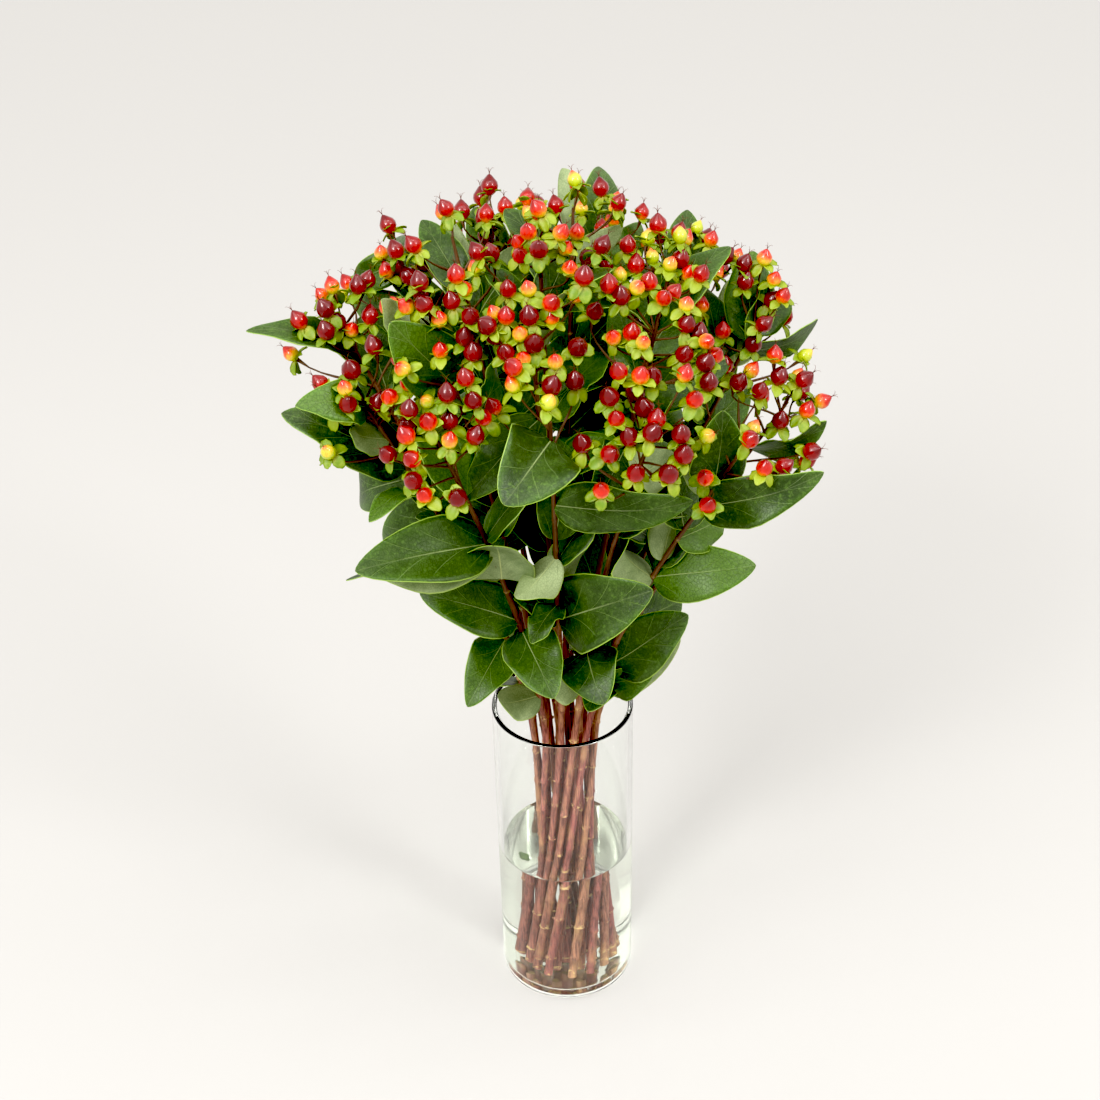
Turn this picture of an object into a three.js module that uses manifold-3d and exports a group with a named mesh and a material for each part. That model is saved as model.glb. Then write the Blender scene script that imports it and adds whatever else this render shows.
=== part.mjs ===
// A bunch of cut hypericum stems, with leaves and berries, standing in a glass cylinder vase of water.
// Millimetres, +Z up. The origin is the centre of the vase's underside, and the front is towards -Y.
import * as THREE from "three";
import { mergeVertices } from "three/addons/utils/BufferGeometryUtils.js";
import Module from "manifold-3d";

const wasm = await Module();
wasm.setup();

const vec = (x, y, z) => new THREE.Vector3(x, y, z);
const radians = THREE.MathUtils.degToRad;
const lerp = THREE.MathUtils.lerp;
const UP = vec(0, 0, 1);

// ---------------------------------------------------------------- driving dimensions

const GAP = 0.3; // clear space between two pieces that only lie near each other
const VASE = { radius: 50, height: 250, wall: 3.5, floor: 8, edge: 1.2, foot: 3, sides: 48 };
const WATER = { level: 122, edge: 1 };

// The bunch is a sheaf: every stem keeps its own place in the layout from foot to head, so that none cross.
// The stems stand straight from the foot to the neck, each turned about the middle like the straws of a
// spiral bunch, and spread out above it to the heads.
const FOOT = { height: VASE.floor + 0.8, spread: 27, twist: 78 };
const NECK = { height: 244, spread: 26.5 };
const CROWN = { reach: 155, flare: 1.35, bends: [0.3, 0.65, 1] };
const STEM = { footRadius: 2.7, neckRadius: 2.5, topRadius: 1.6, sides: 5 };

// A blade is broadest below its middle: its outline is a sine wave of its length, eased by two powers.
const LEAF = { thickness: 0.8, rootWidth: 2.4, arch: 0.1, stations: [0.22, 0.52, 0.8] };
const OUTLINE = { early: 0.8, full: 0.85 };

// A head is a terminal berry with three pairs of side branches below it, each pair square to the next.
// The terminal branch is number 0 and the pairs follow from the top down. Those made are placed in order.
const HEAD = {
  terminal: { below: 3, rise: 16 },
  step: 50,
  quarter: 90,
  lean: 1.2,
  made: [0, 5, 6, 3, 4],
  pairs: [
    { below: 6, out: 15, rise: 13 },
    { below: 26, out: 27, rise: 26 },
    { below: 52, out: 36, rise: 40 },
  ],
};
const BERRY = { radius: 5.4, belly: 6.3, length: 12.6, stalk: 0.8, stalkSides: 3 };
const CALYX = { sepals: 5, reach: 9, droop: 1.5, notch: 3.4, notchRise: 0.6 };

// Where the top of each stem stands in the crown: right, back and up from the origin.
const STEM_TOPS = [
  [-136, 20, 543],
  [-116, -68, 536],
  [-68, -113, 530],
  [-4, -116, 542],
  [52, -116, 530],
  [104, -95, 503],
  [144, -18, 497],
  [133, 50, 520],
  [92, 102, 545],
  [32, 128, 562],
  [-38, 126, 566],
  [-100, 82, 560],
  [-72, -54, 578],
  [-14, -62, 583],
  [60, -52, 570],
  [74, 24, 574],
  [14, 66, 594],
  [-62, 40, 588],
  [-8, -2, 604],
].map((top) => vec(...top));

// The bunch is arranged for an eye before it and above it. A leaf of its front is set by what that eye
// sees on a square sheet of 1100 units: the places of its root and its tip, the side that faces the eye
// (1 the upper, -1 the under side), how far it is turned edge on, and whether its tip comes nearer (1)
// or not (-1).
const SHEET = { eye: vec(-6, -977.7, 1027), pitch: 33.53, roll: -1.44, focal: 1757.6, centre: 550 };
const FRONT_LEAVES = [
  // stem, root, tip, length, width, side, turn, nearer
  [0, [366, 372], [260, 324], 76, 28, 1, 60, 1],
  [1, [366, 408], [307, 402], 48, 26, 1, 20, 1],
  [1, [412, 462], [291, 415], 80, 35, 1, 15, 1],
  [1, [424, 470], [354, 497], 58, 32, 1, 15, -1],
  [1, [405, 508], [358, 517], 50, 24, 1, 68, 1],
  [0, [455, 505], [382, 546], 62, 36, 1, 5, -1],
  [2, [496, 540], [362, 571], 84, 40, 1, 10, 1],
  [2, [478, 560], [374, 573], 72, 30, -1, 50, -1],
  [1, [452, 581], [350, 583], 76, 26, 1, 72, 1],
  [12, [500, 566], [441, 566], 46, 26, -1, 25, -1],
  [2, [498, 580], [508, 534], 46, 42, -1, 0, 1],
  [2, [515, 622], [427, 594], 64, 35, 1, 10, 1],
  [2, [523, 630], [552, 695], 56, 37, 1, 0, 1],
  [1, [500, 640], [472, 698], 54, 32, 1, 5, 1],
  [2, [538, 696], [499, 703], 38, 26, -1, 20, 1],
  [3, [560, 668], [572, 703], 32, 24, -1, 10, 1],
  [3, [550, 620], [652, 591], 77, 45, 1, 0, 1],
  [3, [545, 605], [533, 640], 34, 20, 1, 30, 1],
  [3, [548, 558], [519, 596], 40, 26, -1, 25, 1],
  [5, [612, 668], [681, 611], 54, 34, 1, 10, 1],
  [6, [606, 690], [685, 628], 62, 36, -1, 10, 1],
  [4, [590, 652], [600, 697], 40, 40, 1, 5, 1],
  [5, [606, 684], [567, 714], 42, 24, 1, 20, 1],
  [5, [606, 684], [650, 674], 40, 24, 1, 30, 1],
  [5, [655, 578], [748, 567], 62, 36, 1, 0, 1],
  [5, [678, 540], [724, 515], 46, 28, 1, 15, -1],
  [5, [690, 500], [811, 482], 78, 31, 1, 10, 1],
  [5, [655, 556], [680, 512], 42, 22, -1, 35, 1],
  [3, [560, 505], [680, 508], 78, 30, 1, 15, 1],
  [5, [652, 578], [586, 560], 56, 30, -1, 25, 1],
  [3, [542, 592], [583, 545], 46, 26, -1, 30, 1],
  [14, [628, 450], [600, 496], 44, 34, 1, 0, 1],
  [4, [640, 480], [672, 455], 36, 27, -1, 0, -1],
  [5, [715, 490], [722, 415], 52, 32, 1, 10, 1],
  [6, [752, 450], [822, 427], 52, 24, 1, 58, 1],
  [5, [712, 495], [700, 440], 46, 24, -1, 15, 1],
  [7, [742, 350], [817, 326], 54, 24, 1, 62, -1],
  [16, [570, 430], [648, 352], 76, 46, 1, 0, -1],
  [9, [600, 238], [563, 171], 62, 31, -1, 5, -1],
  [9, [607, 250], [602, 168], 64, 31, 1, 15, -1],
  [8, [675, 300], [687, 213], 64, 28, 1, 10, -1],
  [8, [680, 290], [696, 231], 48, 22, -1, 5, -1],
  [9, [592, 280], [572, 217], 50, 26, 1, 10, -1],
  [16, [580, 290], [617, 228], 50, 24, -1, 40, -1],
  [7, [722, 395], [700, 281], 78, 28, 1, 25, -1],
  [7, [738, 368], [728, 272], 66, 30, -1, 0, -1],
  [7, [745, 340], [762, 269], 48, 20, 1, 55, -1],
  [7, [748, 335], [772, 281], 44, 22, 1, 15, -1],
  [15, [652, 354], [678, 297], 54, 31, 1, 15, -1],
  [16, [571, 362], [618, 308], 62, 42, 1, 5, -1],
  [18, [537, 308], [565, 253], 50, 25, 1, 15, -1],
  [9, [588, 327], [573, 272], 46, 22, 1, 40, -1],
  [18, [545, 395], [560, 340], 46, 24, 1, 25, -1],
  [3, [553, 440], [508, 499], 54, 44, 1, 0, 1],
  [13, [532, 420], [468, 495], 66, 30, 1, 10, 1],
  [11, [415, 300], [399, 232], 58, 28, 1, 5, -1],
  [17, [465, 290], [424, 224], 56, 24, 1, 5, -1],
  [17, [463, 280], [452, 228], 46, 20, -1, 5, -1],
  [17, [470, 318], [440, 244], 60, 24, 1, 25, -1],
  [17, [474, 330], [508, 254], 60, 26, -1, 5, -1],
  [12, [436, 345], [383, 303], 46, 22, -1, 25, 1],
  [12, [452, 385], [388, 320], 64, 40, 1, 0, 1],
  [1, [388, 440], [353, 432], 36, 20, -1, 25, 1],
  [12, [468, 425], [497, 365], 48, 24, 1, 45, -1],
];

// Leaves set in the same way, which close the bunch where the eye would look through it.
const CLOSING_LEAVES = [
  [15, [640, 395], [720, 378], 58, 34, 1, 0, -1],
  [7, [697, 440], [746, 388], 52, 32, 1, 0, -1],
  [10, [514, 352], [458, 334], 50, 34, 1, 0, -1],
  [11, [480, 480], [418, 476], 54, 34, 1, 0, -1],
  [8, [607, 562], [662, 540], 50, 34, 1, 0, -1],
  [6, [634, 626], [680, 600], 46, 32, 1, 0, -1],
  [10, [503, 275], [476, 212], 56, 28, 1, 0, -1],
  [9, [594, 290], [642, 226], 56, 30, 1, 0, -1],
  [11, [428, 332], [362, 302], 58, 30, 1, 0, -1],
  [0, [386, 400], [350, 350], 50, 28, 1, 0, -1],
  [9, [577, 510], [610, 590], 60, 36, -1, 0, 1],
  [12, [503, 535], [455, 560], 50, 32, 1, 0, -1],
  [8, [668, 330], [640, 258], 56, 30, 1, 0, -1],
  [16, [572, 290], [530, 238], 50, 28, 1, 0, -1],
  [7, [728, 378], [697, 352], 40, 26, 1, 0, -1],
  [0, [412, 444], [386, 392], 50, 26, 1, 0, -1],
  [9, [571, 640], [590, 662], 40, 28, -1, 0, 1],
  [10, [544, 600], [506, 640], 44, 30, -1, 0, 1],
];

// The other leaves stand in pairs, each pair square to the next, up the stems. Low down they fill the
// back of the bunch, and higher up all but its front. The stems of the front row carry few of them.
const PAIRS = { lowest: 266, spacing: 42, shift: 0.5, below: 46, step: 97, quarter: 90, drift: 30 };
const COVER = { height: 400, forward: -0.3, frontRow: -40, frontMost: 3, backMost: 10 };
const SHOULDER = { height: 300, radius: 92, slope: 0.45 }; // the widest that the paired leaves reach
const SPRAY = { seed: 7, length: [56, 80], width: [0.48, 0.6], rise: [-8, 55], byLevel: 0.7 };
const DRAW = { factor: 1664525, step: 1013904223, range: 2 ** 32 };

// How a leaf, or the stalk of a berry, may be bent clear of what already stands there, in order of trial.
const LEAF_BENDS = {
  raise: [0, 8, -8, 16, -16, 26, -26],
  swing: [0, 9, -9, 18, -18, 27, -27],
  size: [1, 0.85, 0.7],
};
const STALK_BENDS = { swing: [0, 12, -12, 24, -24, 36, -36], free: 0.5 };

// ---------------------------------------------------------------- closed meshes

// Joins two rings of points, given by their numbers, with triangles in step round both rings.
function zip(lower, upper, triangles) {
  let low = 0;
  let high = 0;
  while (low < lower.length || high < upper.length) {
    const a = lower[low % lower.length];
    const b = upper[high % upper.length];
    const turnLow = (low + 1) * upper.length <= (high + 1) * lower.length;
    if (high === upper.length || (low < lower.length && turnLow)) {
      low += 1;
      if (lower.length > 1) triangles.push(a, lower[low % lower.length], b);
    } else {
      high += 1;
      if (upper.length > 1) triangles.push(a, upper[high % upper.length], b);
    }
  }
}

function fan(ring, triangles) {
  for (let k = 2; k < ring.length; k += 1) triangles.push(ring[0], ring[k - 1], ring[k]);
}

// A closed solid over a row of rings of points. Each ring turns anticlockwise as seen from the row's end.
function skin(rings) {
  const points = rings.flat();
  const triangles = [];
  let count = 0;
  const numbers = rings.map((ring) => ring.map(() => count++));
  fan([...numbers[0]].reverse(), triangles);
  for (let k = 1; k < rings.length; k += 1) zip(numbers[k - 1], numbers[k], triangles);
  fan(numbers[rings.length - 1], triangles);
  return new wasm.Manifold(
    new wasm.Mesh({
      numProp: 3,
      vertProperties: new Float32Array(points.flatMap((p) => p.toArray())),
      triVerts: new Uint32Array(triangles),
    }),
  );
}

// Two directions square to an axis, the first of them level.
function crossways(axis) {
  const side = vec(0, -1, 0).cross(axis).normalize().negate();
  return [side, axis.clone().cross(side)];
}

function ring(centre, axis, radius, sides) {
  const [u, v] = crossways(axis);
  return Array.from({ length: sides }, (_, k) => {
    const angle = (2 * Math.PI * k) / sides;
    return centre
      .clone()
      .addScaledVector(u, radius * Math.cos(angle))
      .addScaledVector(v, radius * Math.sin(angle));
  });
}

// A rod along a row of points, from its first radius to its last.
function rod(path, radii, sides) {
  const rings = path.map((point, k) => {
    const before = path[Math.max(k - 1, 0)];
    const after = path[Math.min(k + 1, path.length - 1)];
    return ring(point, after.clone().sub(before).normalize(), radii[k], sides);
  });
  return skin(rings);
}

// ---------------------------------------------------------------- the sheaf of stems

// The points of a stem's axis: its foot, its neck, and its bends up to its top.
function stemPath(top) {
  const foot = vec(top.x, top.y, 0).multiplyScalar(FOOT.spread / CROWN.reach);
  foot.applyAxisAngle(UP, radians(-FOOT.twist)).setZ(FOOT.height);
  const path = [foot];
  for (const rise of [0, ...CROWN.bends]) {
    const spread = lerp(NECK.spread / CROWN.reach, 1, rise ** CROWN.flare);
    path.push(vec(top.x * spread, top.y * spread, lerp(NECK.height, top.z, rise)));
  }
  return path;
}

const STEM_PATHS = STEM_TOPS.map(stemPath);

function stemWood(path) {
  const taper = (k) => lerp(STEM.neckRadius, STEM.topRadius, k / CROWN.bends.length);
  const upper = path.slice(1).map((_, k) => taper(k));
  return rod(path, [STEM.footRadius, ...upper], STEM.sides);
}

// ---------------------------------------------------------------- leaves

// The outline of a blade: the part of its full width that it has at a part of its length.
const bladeWidth = (along) => Math.sin(Math.PI * along ** OUTLINE.early) ** OUTLINE.full;

// A leaf's place: its root, the directions along it, across it and out of its upper face, and its size.
function leafPlace(root, along, normal, length, width) {
  const across = normal.clone().cross(along).normalize();
  return { root, along, across, face: along.clone().cross(across), length, width };
}

// A point of the blade: along its length, across it from -1 to 1, and out of its face from -1 to 1.
function bladePoint(leaf, along, across, out) {
  const half = along === 0 ? LEAF.rootWidth / 2 : (leaf.width / 2) * bladeWidth(along);
  const lift = LEAF.arch * leaf.length * Math.sin(Math.PI * along) + (LEAF.thickness / 2) * out;
  return leaf.root
    .clone()
    .addScaledVector(leaf.along, leaf.length * along)
    .addScaledVector(leaf.across, half * across)
    .addScaledVector(leaf.face, lift);
}

// The solid of a blade from one of its stations to its tip.
function blade(leaf, from) {
  const corners = [[1, 1], [-1, 1], [-1, -1], [1, -1]];
  const stations = [0, ...LEAF.stations].filter((along) => along >= from);
  const rings = stations.map((along) => corners.map((corner) => bladePoint(leaf, along, ...corner)));
  return skin([...rings, [bladePoint(leaf, 1, 0, 0)]]);
}

// The direction from the eye through a place of the sheet.
function sight([x, y]) {
  const pitch = radians(SHEET.pitch);
  const roll = radians(SHEET.roll);
  const level = vec(1, 0, 0);
  const rise = vec(0, Math.sin(pitch), Math.cos(pitch));
  const right = level.clone().multiplyScalar(Math.cos(roll)).addScaledVector(rise, Math.sin(roll));
  const up = rise.clone().multiplyScalar(Math.cos(roll)).addScaledVector(level, -Math.sin(roll));
  return vec(0, Math.cos(pitch), -Math.sin(pitch))
    .addScaledVector(right, (x - SHEET.centre) / SHEET.focal)
    .addScaledVector(up, (SHEET.centre - y) / SHEET.focal)
    .normalize();
}

// The point of a path that lies closest to a line of sight.
function pathPointNear(path, direction) {
  const line = new THREE.Ray(SHEET.eye, direction);
  let best = { distance: Infinity };
  for (let k = 1; k < path.length - 1; k += 1) {
    const onPath = vec();
    const distance = line.distanceSqToSegment(path[k], path[k + 1], undefined, onPath);
    if (distance < best.distance) best = { distance, point: onPath };
  }
  return best.point;
}

// The point at a distance from the root along a line of sight, on its near side or on its far side.
function tipOnSight(root, direction, length, nearer) {
  const reach = root.clone().sub(SHEET.eye);
  const foot = reach.dot(direction);
  const off = SHEET.eye.clone().addScaledVector(direction, foot).sub(root);
  const depth = Math.sqrt(Math.max(length ** 2 - off.lengthSq(), 0));
  return SHEET.eye.clone().addScaledVector(direction, foot - nearer * depth);
}

function frontLeaf([stem, rootPlace, tipPlace, length, width, side, turn, nearer]) {
  const root = pathPointNear(STEM_PATHS[stem], sight(rootPlace));
  const tip = tipOnSight(root, sight(tipPlace), length, nearer);
  const along = tip.sub(root).normalize();
  const normal = SHEET.eye.clone().sub(root).normalize().multiplyScalar(side);
  normal.applyAxisAngle(along, radians(turn));
  return { stem, ...leafPlace(root, along, normal, length, width) };
}

// ---------------------------------------------------------------- berries

// A berry on its stalk: a star of sepals, and the ovoid berry out of the middle of them.
function berryOnStalk({ root, end, axis }) {
  const at = (height) => end.clone().addScaledVector(axis, height);
  const star = ring(end, axis, 1, 2 * CALYX.sepals).map((point, k) => {
    const out = point.sub(end);
    const isTip = k % 2 === 0;
    const level = at(isTip ? -CALYX.droop : CALYX.notchRise);
    return level.addScaledVector(out, isTip ? CALYX.reach : CALYX.notch);
  });
  return skin([
    ring(root, end.clone().sub(root).normalize(), BERRY.stalk, BERRY.stalkSides),
    ring(end, axis, BERRY.stalk, BERRY.stalkSides),
    star,
    ring(at(BERRY.belly), axis, BERRY.radius, CALYX.sepals),
    [at(BERRY.length)],
  ]);
}

// The stalks of a head: the terminal one, and one to each side at each of the pairs below it. All of them
// run out from the stem's axis, and their berries lean from the stalk towards the axis.
function headStalks(stem, swing) {
  const path = STEM_PATHS[stem];
  const top = path[path.length - 1];
  const axis = top.clone().sub(path[path.length - 2]).normalize();
  const [u, v] = crossways(axis);
  const stalk = (below, out, rise, heading) => {
    const root = top.clone().addScaledVector(axis, -below);
    const side = u.clone().multiplyScalar(Math.cos(heading)).addScaledVector(v, Math.sin(heading));
    const end = root.clone().addScaledVector(axis, rise).addScaledVector(side, out);
    const lean = end.clone().sub(root).normalize().addScaledVector(axis, HEAD.lean).normalize();
    return { root, end, axis: lean };
  };
  const stalks = [stalk(HEAD.terminal.below, 0, HEAD.terminal.rise, 0)];
  HEAD.pairs.forEach(({ below, out, rise }, level) => {
    for (const side of [0, 180]) {
      const heading = HEAD.step * stem + HEAD.quarter * level + side + swing;
      stalks.push(stalk(below, out, rise, radians(heading)));
    }
  });
  return stalks;
}

// ---------------------------------------------------------------- vase and water

function lathe(profile, sides) {
  const geometry = new THREE.LatheGeometry(profile.map(([r, z]) => new THREE.Vector2(r, z)), sides);
  geometry.rotateX(Math.PI / 2);
  return geometry;
}

function vaseGeometry() {
  const { radius, height, wall, floor, edge, foot } = VASE;
  const inside = radius - wall;
  return lathe(
    [
      [0, 0],
      [radius - foot, 0],
      [radius, foot],
      [radius, height - edge],
      [radius - edge, height],
      [inside + edge, height],
      [inside, height - edge],
      [inside, floor + foot],
      [inside - foot, floor],
      [0, floor],
    ],
    VASE.sides,
  );
}

function waterGeometry() {
  const inside = VASE.radius - VASE.wall - GAP;
  const bottom = VASE.floor + GAP;
  return lathe(
    [
      [0, bottom],
      [inside - VASE.foot, bottom],
      [inside, bottom + VASE.foot],
      [inside, WATER.level],
      [inside - WATER.edge, WATER.level - WATER.edge],
      [0, WATER.level - WATER.edge],
    ],
    VASE.sides,
  );
}

function solidOf(geometry) {
  const bare = geometry.clone();
  bare.deleteAttribute("normal");
  bare.deleteAttribute("uv");
  const merged = mergeVertices(bare);
  return new wasm.Manifold(
    new wasm.Mesh({
      numProp: 3,
      vertProperties: new Float32Array(merged.attributes.position.array),
      triVerts: new Uint32Array(merged.index.array),
    }),
  );
}

function geometryOf(solid) {
  const mesh = solid.getMesh();
  const geometry = new THREE.BufferGeometry();
  geometry.setAttribute("position", new THREE.BufferAttribute(mesh.vertProperties, 3));
  geometry.setIndex(new THREE.BufferAttribute(mesh.triVerts, 1));
  return geometry;
}

// ---------------------------------------------------------------- growing the bunch

const GLASS_LOOK = { color: 0xdfe8e4, roughness: 0.05, metalness: 0, transparent: true, opacity: 0.35 };
const WATER_LOOK = { color: 0xc9d6cc, roughness: 0.05, metalness: 0, transparent: true, opacity: 0.5 };
const PLANT_LOOK = { color: 0x3f6a2c, roughness: 0.5, metalness: 0 };

// A small seeded draw of numbers from 0 to 1.
function draws(seed) {
  let state = seed;
  return () => {
    state = (Math.imul(state, DRAW.factor) + DRAW.step) >>> 0;
    return state / DRAW.range;
  };
}

const PIECES = [];

function isApart(a, b, space) {
  return [0, 1, 2].some((k) => a.min[k] - b.max[k] > space || b.min[k] - a.max[k] > space);
}

// Whether a new piece is clear of all that stands: of other stems' pieces as a whole, and of the free
// ends of the pieces of its own stem.
function isClear(piece) {
  const box = piece.solid.boundingBox();
  return PIECES.every((other) => {
    if (isApart(box, other.box, GAP)) return true;
    if (other.stem !== piece.stem) return piece.solid.minGap(other.solid, 2 * GAP) > GAP;
    return !piece.free || !other.free || piece.free.minGap(other.free, 2 * GAP) > GAP;
  });
}

function place(piece) {
  PIECES.push({ ...piece, box: piece.solid.boundingBox() });
}

// Places the first of the tried pieces that is clear, or none.
function placeFirstClear(tries) {
  for (const piece of tries) {
    if (isClear(piece)) {
      place(piece);
      return true;
    }
  }
  return false;
}

// The ways to bend a leaf: raised or lowered at its root, swung to a side, or smaller. Its free part is
// what lies beyond its first station.
function* bentLeaves(leaf) {
  for (const size of LEAF_BENDS.size) {
    const bends = LEAF_BENDS.raise.flatMap((raise) => LEAF_BENDS.swing.map((swing) => [raise, swing]));
    bends.sort((a, b) => Math.hypot(...a) - Math.hypot(...b));
    for (const [raise, swing] of bends) {
      const along = leaf.along.clone().applyAxisAngle(leaf.across, radians(-raise));
      along.applyAxisAngle(leaf.face, radians(swing));
      const normal = leaf.face.clone().applyAxisAngle(leaf.across, radians(-raise));
      const placed = leafPlace(leaf.root, along, normal, leaf.length * size, leaf.width * size);
      yield { stem: leaf.stem, solid: blade(placed, 0), free: blade(placed, LEAF.stations[0]) };
    }
  }
}

// The ways to bend a berry's stalk: swung round the stem. Its free part is the berry and half the stalk.
function* bentStalks(stem, number) {
  for (const swing of STALK_BENDS.swing) {
    const stalk = headStalks(stem, swing)[number];
    const outer = { ...stalk, root: stalk.root.clone().lerp(stalk.end, STALK_BENDS.free) };
    yield { stem, solid: berryOnStalk(stalk), free: berryOnStalk(outer) };
  }
}

function pathPointAt(path, height) {
  const k = path.findIndex((point) => point.z > height);
  const part = (height - path[k - 1].z) / (path[k].z - path[k - 1].z);
  return path[k - 1].clone().lerp(path[k], part);
}

// A leaf that stands out from a stem, by its heading round the stem and its rise above the level.
function standingLeaf(root, heading, rise, length, width) {
  const out = vec(Math.cos(heading), Math.sin(heading), 0);
  const along = out.clone().multiplyScalar(Math.cos(rise)).addScaledVector(UP, Math.sin(rise));
  const normal = out.clone().multiplyScalar(-Math.sin(rise)).addScaledVector(UP, Math.cos(rise));
  return leafPlace(root, along, normal, length, width);
}

// Whether a leaf of the rule belongs where it stands: behind the front leaves, and inside the bunch.
function isWanted(leaf, top) {
  const tip = leaf.root.clone().addScaledVector(leaf.along, leaf.length);
  const reach = SHOULDER.radius + SHOULDER.slope * (tip.z - SHOULDER.height);
  const isLow = leaf.root.z < COVER.height;
  const isBehind = isLow ? tip.y > 0 : leaf.along.y > COVER.forward;
  return isBehind && tip.z < top.z && Math.hypot(tip.x, tip.y) < reach;
}

// The wanted leaves of the rule's pairs up a stem, each pair a quarter turn from the one below.
function* pairedLeaves(stem, draw) {
  const path = STEM_PATHS[stem];
  const top = path[path.length - 1];
  const levels = Math.floor((top.z - PAIRS.below - PAIRS.lowest) / PAIRS.spacing);
  for (let level = 0; level <= levels; level += 1) {
    const height = PAIRS.lowest + PAIRS.spacing * (level + PAIRS.shift * draw());
    const root = pathPointAt(path, height);
    for (const side of [0, 180]) {
      const heading = PAIRS.step * stem + PAIRS.quarter * level + side + PAIRS.drift * draw();
      const raised = lerp(draw(), level / levels, SPRAY.byLevel);
      const length = lerp(...SPRAY.length, draw());
      const width = length * lerp(...SPRAY.width, draw());
      const rise = radians(lerp(...SPRAY.rise, raised));
      const leaf = standingLeaf(root, radians(heading), rise, length, width);
      if (isWanted(leaf, top)) yield { stem, ...leaf };
    }
  }
}

place({ solid: solidOf(vaseGeometry()) });
STEM_PATHS.forEach((path, stem) => place({ stem, solid: stemWood(path) }));
FRONT_LEAVES.forEach((row) => placeFirstClear(bentLeaves(frontLeaf(row))));
STEM_PATHS.forEach((_, stem) => {
  HEAD.made.forEach((number) => placeFirstClear(bentStalks(stem, number)));
});
const draw = draws(SPRAY.seed);
STEM_PATHS.forEach((_, stem) => {
  const most = STEM_TOPS[stem].y < COVER.frontRow ? COVER.frontMost : COVER.backMost;
  let made = 0;
  for (const leaf of pairedLeaves(stem, draw)) {
    if (made < most && placeFirstClear(bentLeaves(leaf))) made += 1;
  }
});
CLOSING_LEAVES.forEach((row) => placeFirstClear(bentLeaves(frontLeaf(row))));

// ---------------------------------------------------------------- the object

function node(name, geometry, look) {
  const mesh = new THREE.Mesh(geometry, new THREE.MeshStandardMaterial(look));
  mesh.name = name;
  return mesh;
}

// The pieces of a stem joined in one solid. Where they meet they can seal a speck of air, which is a
// shell of its own: keeping the largest shell fills it.
function leafyStem(stem) {
  const pieces = PIECES.filter((piece) => piece.stem === stem).map((piece) => piece.solid);
  const shells = pieces.reduce((whole, piece) => whole.add(piece)).decompose();
  return shells.reduce((largest, shell) => (shell.volume() > largest.volume() ? shell : largest));
}

function waterWithHoles() {
  const holes = STEM_PATHS.map((path) =>
    rod(path.slice(0, 2), [STEM.footRadius + GAP, STEM.neckRadius + GAP], STEM.sides));
  return holes.reduce((water, hole) => water.subtract(hole), solidOf(waterGeometry()));
}

const bunch = new THREE.Group();
bunch.add(node("vase", vaseGeometry(), GLASS_LOOK));
bunch.add(node("water", geometryOf(waterWithHoles()), WATER_LOOK));
STEM_PATHS.forEach((_, stem) => {
  const name = `stem_${String(stem + 1).padStart(2, "0")}`;
  bunch.add(node(name, geometryOf(leafyStem(stem)), PLANT_LOOK));
});

export default bunch;
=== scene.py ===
# %% [markdown]
# # A vase of hypericum
#
# Nineteen cut stems of hypericum stand in a glass cylinder of water. Each stem carries broad leaves in
# pairs and ends in a loose head of red berries on thin stalks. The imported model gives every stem, leaf and
# berry its place. This script dresses that frame: it works the same places out again, in metres, finds
# which of them the model kept, and puts a finer piece on each.

# %% Load the frame
import math
import random
from itertools import product

import bmesh
import bpy
import numpy as np
from mathutils import Matrix, Vector
from mathutils.bvhtree import BVHTree
from mathutils.kdtree import KDTree


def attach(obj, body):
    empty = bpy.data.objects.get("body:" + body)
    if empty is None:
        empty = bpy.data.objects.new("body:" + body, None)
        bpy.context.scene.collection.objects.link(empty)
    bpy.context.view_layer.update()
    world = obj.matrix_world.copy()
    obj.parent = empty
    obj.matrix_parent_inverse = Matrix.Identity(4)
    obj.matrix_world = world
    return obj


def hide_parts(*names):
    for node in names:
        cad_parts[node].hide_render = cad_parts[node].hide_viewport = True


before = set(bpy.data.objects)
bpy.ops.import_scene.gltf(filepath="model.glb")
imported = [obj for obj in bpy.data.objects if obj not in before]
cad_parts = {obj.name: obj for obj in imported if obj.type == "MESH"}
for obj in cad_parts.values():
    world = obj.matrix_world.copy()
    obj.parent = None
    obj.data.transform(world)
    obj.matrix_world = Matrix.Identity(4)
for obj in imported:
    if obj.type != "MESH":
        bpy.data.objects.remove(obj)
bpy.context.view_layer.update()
MM = 0.001

# %% [markdown]
# ## The camera
#
# The camera looks down on the bunch from in front of it, about a metre above the floor. It could be placed
# by eye in the viewport, but its place and direction are the same eye that the front leaves are arranged
# for, so they are named once, here, as numbers.

# %% Camera
EYE = np.array([-6, -977.7, 1027]) * MM
PITCH = 33.53  # degrees that the eye looks down
ROLL = -1.44  # degrees that it leans to the side
SHEET = 1100  # dots across and down the square sheet that the eye sees through
FOCAL = 1757.6  # the eye's distance from that sheet, in the same dots
SENSOR = 36  # width of the camera's sensor, in mm


def unit(direction):
    return direction / np.linalg.norm(direction)


def view_axes():
    """The eye's directions to the right, up and forward."""
    pitch = math.radians(PITCH)
    roll = math.radians(ROLL)
    level = np.array([1, 0, 0])
    rise = np.array([0, math.sin(pitch), math.cos(pitch)])
    right = math.cos(roll) * level + math.sin(roll) * rise
    up = math.cos(roll) * rise - math.sin(roll) * level
    forward = np.array([0, math.cos(pitch), -math.sin(pitch)])
    return right, up, forward


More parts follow.
